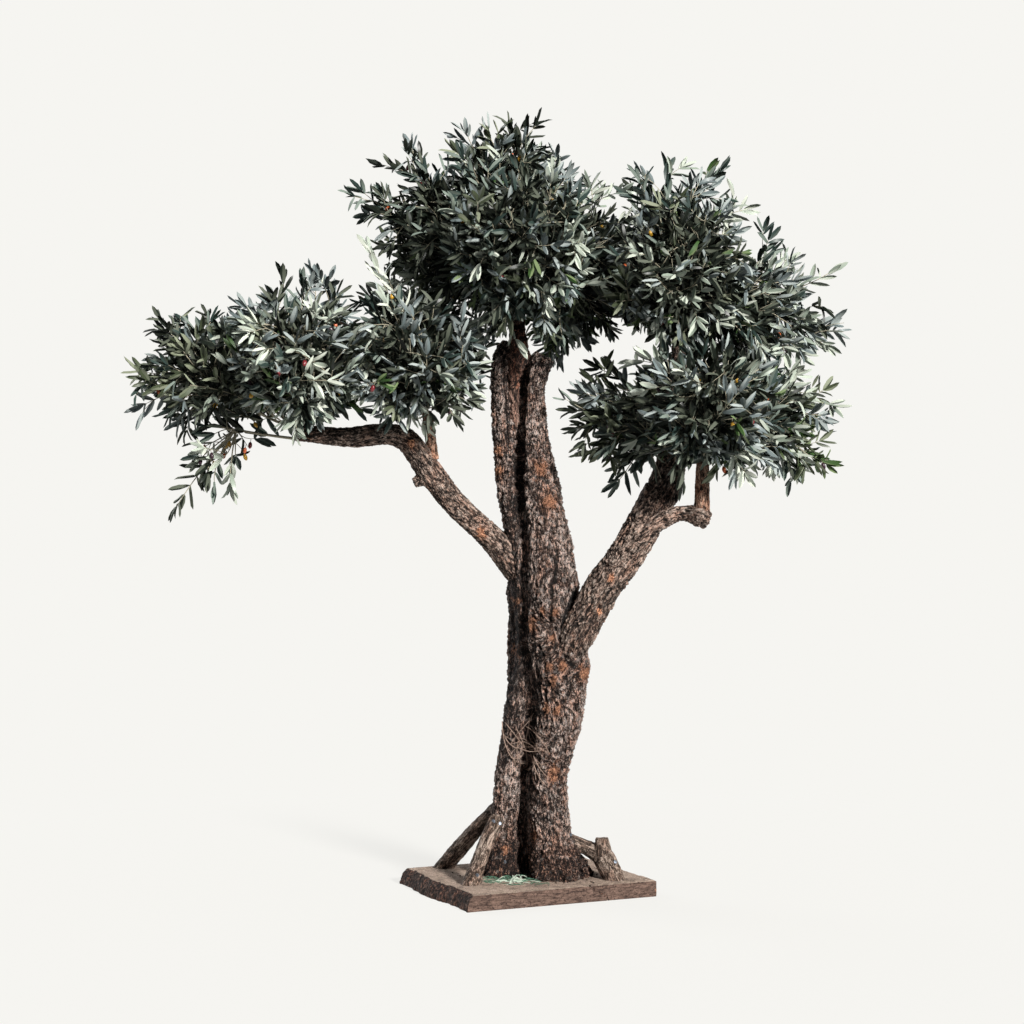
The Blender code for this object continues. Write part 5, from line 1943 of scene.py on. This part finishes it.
class Growth:
    """What has grown in one mass: its branches, twigs and leaves."""

    def __init__(self, mass: Mass, rule: GrowthRule, seed: int) -> None:
        """Starts a mass's growth.

        Args:
            mass: The mass.
            rule: The sizes that it grows by.
            seed: Where its random numbers start.
        """
        self.mass = mass
        self.rule = rule
        self.dice = np.random.default_rng(seed)
        self.branches: list[Array] = []
        self.twigs: list[Array] = []
        self.leaves: list[tuple[Array, Array, Array, float, int]] = []

    def grow(self) -> None:
        """Grows the sprigs that stand out, then branches that fill the mass to its skin."""
        mass = self.mass
        rule = self.rule
        for tip in mass.tips:
            self._grow_sprig(tip)
        self._dress_line(mass.stem, 0.12, 0.03, self._tone(), rule.skin)
        a, b, c = mass.radii
        skin = 4 * math.pi * ((a * b) ** 1.6 / 3 + (a * c) ** 1.6 / 3 + (b * c) ** 1.6 / 3) ** 0.625
        count = int(skin / rule.branch_room)
        for way in even_directions(count, self.dice.uniform(0, math.tau)):
            outward = way * mass.radii
            target = mass.centre + outward * self.dice.uniform(*rule.reach)
            target -= unit(outward) * rule.inset
            if owned(target[None], mass, rule.skin, rule)[0]:
                self._grow_branch(self._foot(target), target)

    def _foot(self, target: Array) -> Array:
        """Where on the stem a branch leaves, so that it runs on towards its target."""
        stem = self.mass.stem
        first = max(1, int(self.rule.first_branch * len(stem)))
        best = stem[first]
        for here, after in zip(stem[first:], stem[first + 1 :]):
            away = unit(target - here)
            if away @ unit(after - here) < math.cos(self.rule.branch_lean):
                break
            best = here
        return best

    def _tone(self) -> int:
        """Deals out a leaf tone."""
        shares = np.array(self.mass.mix.value, dtype=float)
        return int(self.dice.choice(len(shares), p=shares / shares.sum()))

    def _grow_branch(self, start: Array, end: Array) -> None:
        """Grows a branch with its twigs and leaves."""
        dice = self.dice
        rule = self.rule
        away = end - start
        length = float(np.linalg.norm(away))
        if length < rule.least_branch:
            return
        end = end - UP * rule.sag * length * dice.uniform(-0.5, 1.0)
        heading = unit(away / length + 0.45 * unit(dice.normal(size=3)))
        line = bezier(start, start + heading * length * 0.5, end, rule.branch_points)
        self.branches.append(line)
        tone = self._tone()
        first = max(0.18, 1 - rule.leafy_reach / length)
        count = max(2, int(length * (1 - first) / rule.twig_pitch))
        roll = dice.uniform(0, math.tau)
        for number in range(count):
            share = first + (0.97 - first) * (number + dice.uniform(0.2, 0.8)) / count
            roll += rule.next_turn + dice.normal() * 0.25
            self._grow_twig(line, share, roll, tone, 1.0 - 0.35 * share, rule.twig_skin)
        self._dress_line(line, first, rule.pair_pitch * 1.4, tone, rule.skin)

    def _grow_twig(
        self, line: Array, share: float, roll: float, tone: int, scale: float, skin: float
    ) -> None:
        """Grows a side twig where it has room."""
        dice = self.dice
        rule = self.rule
        start, ahead = place_on(line, share)
        way, _ = turned_off(ahead, roll, math.radians(dice.uniform(*rule.twig_lean)))
        length = dice.uniform(*rule.twig_length) * scale
        for _ in range(3):
            end = start + way * length - UP * rule.sag * length
            probe = np.stack((end, start + way * (length + 0.02)))
            if owned(probe, self.mass, skin, rule).all():
                break
            length *= 0.7
        else:
            return
        bend = start + unit(way + 0.25 * dice.normal(size=3)) * length * 0.5
        twig = bezier(start, bend, end, rule.twig_points)
        self.twigs.append(twig)
        if dice.random() < rule.fresh_tone:
            tone = self._tone()
        self._dress_line(twig, 0.14, rule.pair_pitch, tone, max(skin, rule.skin))

    def _grow_sprig(self, tip: Array) -> None:
        """Grows a long bare-looking sprig whose last leaf ends at a given tip."""
        dice = self.dice
        rule = self.rule
        stem = self.mass.stem
        start = stem[int(0.8 * (len(stem) - 1))]
        away = tip - start
        length = float(np.linalg.norm(away))
        way = away / length
        end = tip - way * rule.sprig_end
        heading = unit(way + 0.3 * unit(dice.normal(size=3)))
        line = bezier(start, start + heading * length * 0.5, end, rule.branch_points)
        self.branches.append(line)
        tone = self._tone()
        roll = dice.uniform(0, math.tau)
        count = max(2, int(length / rule.sprig_pitch))
        for number in range(count):
            share = 0.2 + 0.66 * (number + dice.uniform(0.2, 0.8)) / count
            roll += rule.next_turn
            self._grow_twig(line, share, roll, tone, 0.6, rule.sprig_skin)
        self._dress_line(line, 0.35, 0.03, tone, ANYWHERE)

    def _dress_line(self, line: Array, first: float, pitch: float, tone: int, skin: float) -> None:
        """Sets opposite pairs of leaves along a twig and two at its end."""
        dice = self.dice
        rule = self.rule
        length = float(np.linalg.norm(np.diff(line, axis=0), axis=1).sum())
        count = max(1, int(length * (1 - first) / pitch))
        roll = dice.uniform(0, math.tau)
        found = []
        for number in range(count):
            share = 1 - (number + 0.35) * pitch / length
            if share < first:
                break
            place, ahead = place_on(line, share)
            young = 0.78 + 0.22 * min(1.0, number / 2)
            for half in (0, 1):
                lean = rule.spread * dice.uniform(0.65, 1.45)
                turn = roll + number * 0.6 + half * math.pi + 0.3 * dice.normal()
                way, _ = turned_off(ahead, turn, lean)
                size = dice.uniform(*rule.leaf_length) * young
                found.append((place, way, ahead, size))
        ahead = unit(line[-1] - line[-2])
        for half in (0, 1):
            way, _ = turned_off(ahead, roll + half * math.pi, math.radians(14) * (1 + half))
            found.append((line[-1], way, turned_off(ahead, roll, 1.4)[0], dice.uniform(0.045, 0.055)))
        tips = np.array([place + way * size for place, way, _, size in found])
        middles = np.array([place + way * size * 0.5 for place, way, _, size in found])
        good = np.ones(len(found), dtype=bool)
        if skin < ANYWHERE:
            good = owned(tips, self.mass, skin, rule)
        good &= clear_of_limbs(tips, rule.clearance) & clear_of_limbs(middles, rule.clearance)
        # leaves near the middle of the mass get tone 0, DEEP: painted shade
        deep = self.mass.depth(middles) < rule.shade_depth * dice.uniform(0.8, 1.3, len(found))
        good &= ~deep | (dice.random(len(found)) < rule.inner_share)
        for keep, dark, (place, way, ahead, size) in zip(good, deep, found):
            if keep:
                self.leaves.append((place, way, ahead, size, 0 if dark else tone))


@dataclass
class Crown:
    """All foliage: stems, branches, twigs, leaves and olives, joined by kind and by part."""

    rule: GrowthRule = field(default_factory=GrowthRule)
    leaf: LeafShape = field(default_factory=LeafShape)
    olive: OliveShape = field(default_factory=OliveShape)

    def _leaf_batch(self, growths: list[Growth], pattern: Pattern) -> Piece:
        """Joins the leaves of some masses."""
        rows = [leaf for growth in growths for leaf in growth.leaves]
        dice = np.random.default_rng(self.rule.seed + len(rows))
        roots, ways, faces, sizes, tones = (np.array(column) for column in zip(*rows))
        ways = unit(ways)
        faces = faces + self.rule.upturn * UP
        faces += self.rule.tumble * dice.normal(size=faces.shape)
        across = unit(np.cross(ways, faces))
        lift = np.cross(across, ways)
        count = len(rows)
        shapes = LeafShape.curled(
            pattern.points, dice.normal(0.1, 0.17, count), dice.normal(0.0, 0.07, count),
            dice.normal(0.0, 0.6, count),
        )
        width = dice.uniform(0.85, 1.2, count)
        moved = (
            shapes[:, :, 0:1] * across[:, None] * width[:, None, None]
            + shapes[:, :, 1:2] * ways[:, None]
            + shapes[:, :, 2:3] * lift[:, None]
        )
        batch = Batch()
        batch.add(pattern, roots[:, None] + moved * sizes[:, None, None], tones * 2)
        return batch.make()

    def _twig_batch(self, growths: list[Growth]) -> Piece:
        """Joins the stems, branches and twigs of some masses."""
        rule = self.rule
        batch = Batch()
        stems = [growth.mass.stem for growth in growths]
        branches = [line for growth in growths for line in growth.branches]
        twigs = [line for growth in growths for line in growth.twigs]
        jobs = (
            (stems, rule.stem_radius, rule.stem_end_radius, 6),
            (branches, rule.branch_radius, rule.twig_radius * 0.7, 4),
            (twigs, rule.twig_radius, rule.twig_radius * 0.55, 3),
        )
        for lines, thick, thin, sides in jobs:
            taper = np.linspace(thick, thin, len(lines[0]))
            batch.add_tubes(np.array(lines), np.tile(taper, (len(lines), 1)), sides)
        return batch.make()

    def _olive_batch(self, growths: list[Growth], pattern: Pattern) -> Piece:
        """Hangs olives from twigs all over the crown, each on a short stalk."""
        dice = np.random.default_rng(self.rule.seed)
        shares = np.array([tone.value[1] for tone in OliveTone])
        batch = Batch()
        stalks = []
        shapes = []
        for growth in growths:
            outer = [t for t in growth.twigs if growth.mass.depth(t[-1:])[0] > 0.6]
            chosen = dice.choice(len(outer), min(self.rule.olives, len(outer)), replace=False)
            for number in chosen:
                start = outer[number][-2]
                hang = unit(np.array((*(0.45 * dice.normal(size=2)), -1.0)))
                top = start + hang * 0.009
                stalks.append(bezier(start, start + hang * 0.004, top, 3))
                side = unit(np.cross(hang, (0.3, 0.9, 0.1)))
                lift = np.cross(hang, side)
                size = self.rule.olive_length * dice.uniform(0.85, 1.1)
                basis = np.stack((side, lift, -hang))
                shapes.append(top + pattern.points @ basis * size)
        tones = dice.choice(len(shares), len(shapes), p=shares / shares.sum())
        batch.add(pattern, np.array(shapes), tones)
        batch.add_tubes(np.array(stalks), np.full((len(stalks), 3), 0.0008))
        batch.finish[-1][:] = len(shares)  # the stalks take the finish after the fruits'
        return batch.make()

    def build(self) -> None:
        """Grows every mass, then joins and dresses leaves, twigs and fruit."""
        stand_stems(self.rule)
        growths: dict[str, list[Growth]] = {}
        seed = self.rule.seed
        for part, masses in CROWN.items():
            growths[part] = []
            for mass in masses:
                growth = Growth(mass, self.rule, seed)
                growth.grow()
                growths[part].append(growth)
                seed += 1
        leaf = self.leaf.model()
        olive = self.olive.model()
        tones = [finish for tone in LeafTone for finish in tone.finishes()]
        twig_wood = PlainFinish("young twig", (0.3, 0.275, 0.2), rough=0.65).build()
        for part, grown in growths.items():
            nodes = ["foliage_" + growth.mass.name for growth in grown]
            leaves = self._leaf_batch(grown, leaf)
            dress(leaves, "leaves_" + part, tones, nodes)
            twigs = self._twig_batch(grown)
            dress(twigs, "twigs_" + part, [twig_wood], [])
            LOG.info("%s: %d leaves", part, sum(len(growth.leaves) for growth in grown))
        every = [growth for grown in growths.values() for growth in grown]
        fruit = self._olive_batch(every, olive)
        finishes = [
            PlainFinish("olive " + tone.name.lower(), tone.value[0], rough=0.32, shine=0.5).build()
            for tone in OliveTone
        ]
        dress(fruit, "olives", [*finishes, twig_wood], [])


# ---- dry twigs and litter ----


@dataclass
class DryTwigs:
    """Dry vine twigs caught in the trunk's cleft: (start, bend, end) as x and z."""

    lines: tuple[tuple[tuple[float, float], ...], ...] = (
        ((-0.068, 0.437), (-0.066, 0.33), (-0.003, 0.325)),
        ((0.012, 0.456), (-0.016, 0.41), (-0.003, 0.318)),
        ((-0.06, 0.432), (-0.03, 0.4), (-0.008, 0.362)),
        ((-0.009, 0.422), (0.024, 0.41), (0.05, 0.362)),
        ((-0.032, 0.418), (-0.016, 0.395), (-0.004, 0.34)),
        ((0.008, 0.382), (0.024, 0.372), (0.048, 0.36)), ((0.01, 0.354), (0.022, 0.32), (0.05, 0.296)),
        ((0.006, 0.35), (0.018, 0.3), (0.04, 0.282)),
        ((-0.046, 0.345), (-0.026, 0.336), (-0.012, 0.356)),
        ((-0.03, 0.372), (0.006, 0.352), (0.042, 0.372)),
        ((0.0, 0.444), (0.004, 0.42), (-0.008, 0.396)),
        ((-0.064, 0.402), (-0.044, 0.36), (-0.006, 0.37)),
    )
    radius: float = 0.0011
    forks: int = 3
    points: int = 12  # along a twig
    finish: BareWoodFinish = BareWoodFinish(
        "dry vine", light=(0.44, 0.325, 0.26), dark=(0.19, 0.12, 0.09), stain=(0.12, 0.08, 0.06),
        dirt=0.15,
    )

    def build(self) -> None:
        """Lays the twigs on the bark, across the cleft, and dresses them."""
        trunk = bpy.data.objects["trunk_bark"]
        batch = Batch()
        dice = np.random.default_rng(53)
        for line in self.lines:
            flat = bezier(*(np.array((*place, 0.0)) for place in line), self.points)
            self._lay(batch, trunk, flat, self.radius)
            for _ in range(self.forks):
                root = flat[dice.integers(2, 9)]
                way = unit(flat[-1] - flat[0] + dice.normal(size=3) * 0.06) * (1.0, 1.0, 0.0)
                tip = root + way * dice.uniform(0.025, 0.06)
                tip = np.clip(tip, (-0.066, 0.29, 0.0), (0.052, 0.45, 0.0))
                bend = (root + tip) / 2 + dice.normal(size=3) * (0.006, 0.006, 0.0)
                fork = bezier(root, bend, tip, self.points)
                self._lay(batch, trunk, fork, self.radius * 0.6)
        dress(batch.make(), "dry_vine", [self.finish.build()], ["dry_twigs"])

    def _lay(self, batch: Batch, trunk: Piece, flat: Array, radius: float) -> None:
        """Adds a twig that follows a flat line at the height of the bark below it.

        Args:
            batch: What the twig is added to.
            trunk: The bark it lies on.
            flat: The line's points as x and z.
            radius: The radius at its thick end.
        """
        line = np.array([self._on_bark(trunk, x, z) for x, z, _ in flat])
        ends = (0, self.points - 1)
        straight = np.interp(np.arange(self.points), ends, line[ends, 1])
        line[:, 1] = np.minimum(line[:, 1], straight)
        lowest = np.minimum(np.minimum(line[:-2, 1], line[1:-1, 1]), line[2:, 1])
        line[1:-1, 1] = (lowest + line[1:-1, 1]) / 2
        batch.add_tubes(line[None], np.linspace(radius, radius * 0.6, self.points)[None], 5)

    def _on_bark(self, trunk: Piece, x: float, z: float) -> Point:
        """A point just in front of the bark."""
        hit, place, _, _ = trunk.ray_cast((x, -0.5, z), (0, 1, 0))
        return (x, place.y - 0.006 if hit else -0.06, z)


@dataclass
class Litter:
    """Shreds of green packing and crumbs of bark that lie on the plank."""

    centre: Point = (-0.045, -0.108, PLANK_TOP)
    shreds: int = 34
    crumbs: int = 150
    shred_radius: float = 0.00075
    mint: PlainFinish = PlainFinish("green shreds", (0.06, 0.15, 0.095), rough=0.6)
    pale: PlainFinish = PlainFinish("pale shreds", (0.48, 0.56, 0.47), rough=0.6)
    crumb: PlainFinish = PlainFinish("bark crumbs", (0.06, 0.038, 0.028), rough=0.9)

    def build(self) -> None:
        """Scatters shreds and crumbs and dresses them."""
        dice = np.random.default_rng(61)
        for name, finish, wide in (("green", self.mint, 1.0), ("pale", self.pale, 0.5)):
            lines = self._shred_lines(dice, wide)
            batch = Batch()
            batch.add_tubes(lines, np.full(lines.shape[:2], self.shred_radius), 4)
            dress(batch.make(), f"plank_shreds_{name}", [finish.build()], [])
        batch = Batch()
        angle = dice.uniform(0.0, math.tau, self.crumbs)
        reach = 0.055 + np.abs(dice.normal(0.0, 0.062, self.crumbs))
        away = np.stack((np.cos(angle) * reach * 1.2, np.sin(angle) * reach), axis=1)
        size = dice.uniform(0.0007, 0.0022, self.crumbs)
        away = np.clip(away + (0.01, -0.01), (-0.2, -0.135), (0.2, 0.135))
        middle = np.column_stack((away, PLANK_TOP + size * 0.6))
        way = unit(dice.normal(size=(self.crumbs, 3)) * (1.0, 1.0, 0.2)) * size[:, None] * 1.8
        lines = np.stack((middle - way, middle + way * 0.1, middle + way), axis=1)
        batch.add_tubes(lines, size[:, None] * (0.5, 1.0, 0.35), 5)
        dress(batch.make(), "plank_crumbs", [self.crumb.build()], [])

    def _shred_lines(self, dice: np.random.Generator, wide: float) -> Array:
        """Curved lines that lie on the plank round the middle of the litter.

        Args:
            dice: The source of chance.
            wide: How far they spread, 1 for all of the litter.

        Returns:
            The points of each line.
        """
        lines = []
        for _ in range(self.shreds):
            place = np.array(self.centre) + dice.normal(size=3) * (0.042, 0.022, 0.0) * wide
            way = dice.normal(size=3) * (1.0, 0.5, 0.0)
            way = unit(way) * dice.uniform(0.02, 0.05)
            bend = place + way * 0.5 + dice.normal(size=3) * (0.01, 0.01, 0.0)
            bend[2] += abs(dice.normal()) * 0.012
            line = bezier(place, bend, place + way, 6)
            line[:, 2] = np.maximum(line[:, 2], PLANK_TOP + 0.0009)
            lines.append(line)
        return np.array(lines)


# ---- studio ----


@dataclass(frozen=True)
class Sun:
    """A soft distant lamp: where it stands, how strong it is and how wide it looks."""

    name: str
    place: Point
    strength: float
    width: float
    colour: Colour

    @property
    def on_floor(self) -> float:
        """How much of its light a level floor gives back."""
        return self.strength * self.place[2] / math.hypot(*self.place) / math.pi

    def hang(self) -> None:
        """Adds the lamp to the scene, turned towards the tree."""
        lamp = bpy.data.lights.new(self.name, "SUN")
        lamp.energy = self.strength
        lamp.angle = self.width
        lamp.color = self.colour
        sun = bpy.data.objects.new(self.name, lamp)
        sun.rotation_euler = Vector(self.place).to_track_quat("Z", "Y").to_euler()
        bpy.context.scene.collection.objects.link(sun)


@dataclass
class Studio:
    """A pale floor, a sun on the front right, a weaker one behind on the left, and the camera."""

    eye: Point = (-0.043, -5.489, 0.967)
    lens: float = 36.0 * 2144 / 1024
    backdrop: Colour = (0.921, 0.913, 0.88)
    floor_radius: float = 2.0
    floor_glow: float = 0.86  # the share of the floor's light that is its own
    sky: float = 0.17
    sky_colour: Colour = (0.96, 0.98, 1.0)
    suns: tuple[Sun, ...] = (
        Sun("sun", (2.4, -3.8, 2.0), 7.5, math.radians(9), (1.0, 0.975, 0.94)),
        Sun("fill", (-3.0, 2.6, 2.0), 1.7, math.radians(30), (0.95, 0.975, 1.0)),
    )

    def build(self) -> None:
        """Sets up floor, light and camera."""
        self._floor()
        self._light()
        self._camera()

    def _floor(self) -> None:
        """A level disc, lit from within, with a faint shadow that fades out to its rim."""
        deselect()
        bpy.ops.mesh.primitive_circle_add(vertices=96, radius=self.floor_radius, fill_type="NGON")
        floor = bpy.context.object
        floor.name = "floor"
        made, board = new_material("floor")
        light = self.sky + sum(sun.on_floor for sun in self.suns)
        place = board.add("TexCoord").outputs["Object"]
        away = board.add("VectorMath", {0: place}, operation="LENGTH").outputs["Value"]
        rim = {0: away, 1: 0.3, 2: self.floor_radius * 0.97, 3: 1.0 - self.floor_glow, 4: 0.0}
        lit = board.add("MapRange", rim, interpolation_type="SMOOTHSTEP").outputs[0]
        colour = board.blend(lit, (0.0, 0.0, 0.0), tuple(c / light for c in self.backdrop))
        board.surface({"Base Color": colour, "Roughness": 1.0, "Specular IOR Level": 0.0})
        glow = board.reckon("SUBTRACT", 1.0, lit)
        board.surface({"Emission Color": (*self.backdrop, 1.0), "Emission Strength": glow})
        floor.data.materials.append(made)

    def _light(self) -> None:
        """The soft suns and an even pale sky."""
        for sun in self.suns:
            sun.hang()
        world = bpy.data.worlds.new("studio")
        world.use_nodes = True
        bpy.context.scene.world = world
        board = NodeBoard(world.node_tree)
        seen = board.tree.nodes["Background"]
        board.feed(seen.inputs[0], (*self.backdrop, 1.0))
        glow = board.add("Background", {0: (*self.sky_colour, 1.0), 1: self.sky})
        camera = board.add("LightPath").outputs["Is Camera Ray"]
        mix = board.add("MixShader", {0: camera, 1: glow.outputs[0], 2: seen.outputs[0]})
        board.feed(board.tree.nodes["World Output"].inputs[0], mix.outputs[0])
        bpy.context.scene.view_settings.view_transform = "Standard"

    def _camera(self) -> None:
        """A level camera that looks along +Y."""
        lens = bpy.data.cameras.new("camera")
        lens.lens = self.lens
        camera = bpy.data.objects.new("camera", lens)
        camera.location = self.eye
        camera.rotation_euler = (math.pi / 2, 0, 0)
        bpy.context.scene.collection.objects.link(camera)
        bpy.context.scene.camera = camera


def main() -> None:
    """Builds the tree part by part, then the studio."""
    logging.basicConfig(level=logging.INFO, format="%(message)s")
    Trunk().build()
    Boughs().build()
    Braces().build()
    Plank().build()
    DryTwigs().build()
    Litter().build()
    Crown().build()
    Studio().build()


if __name__ == "__main__":
    main()
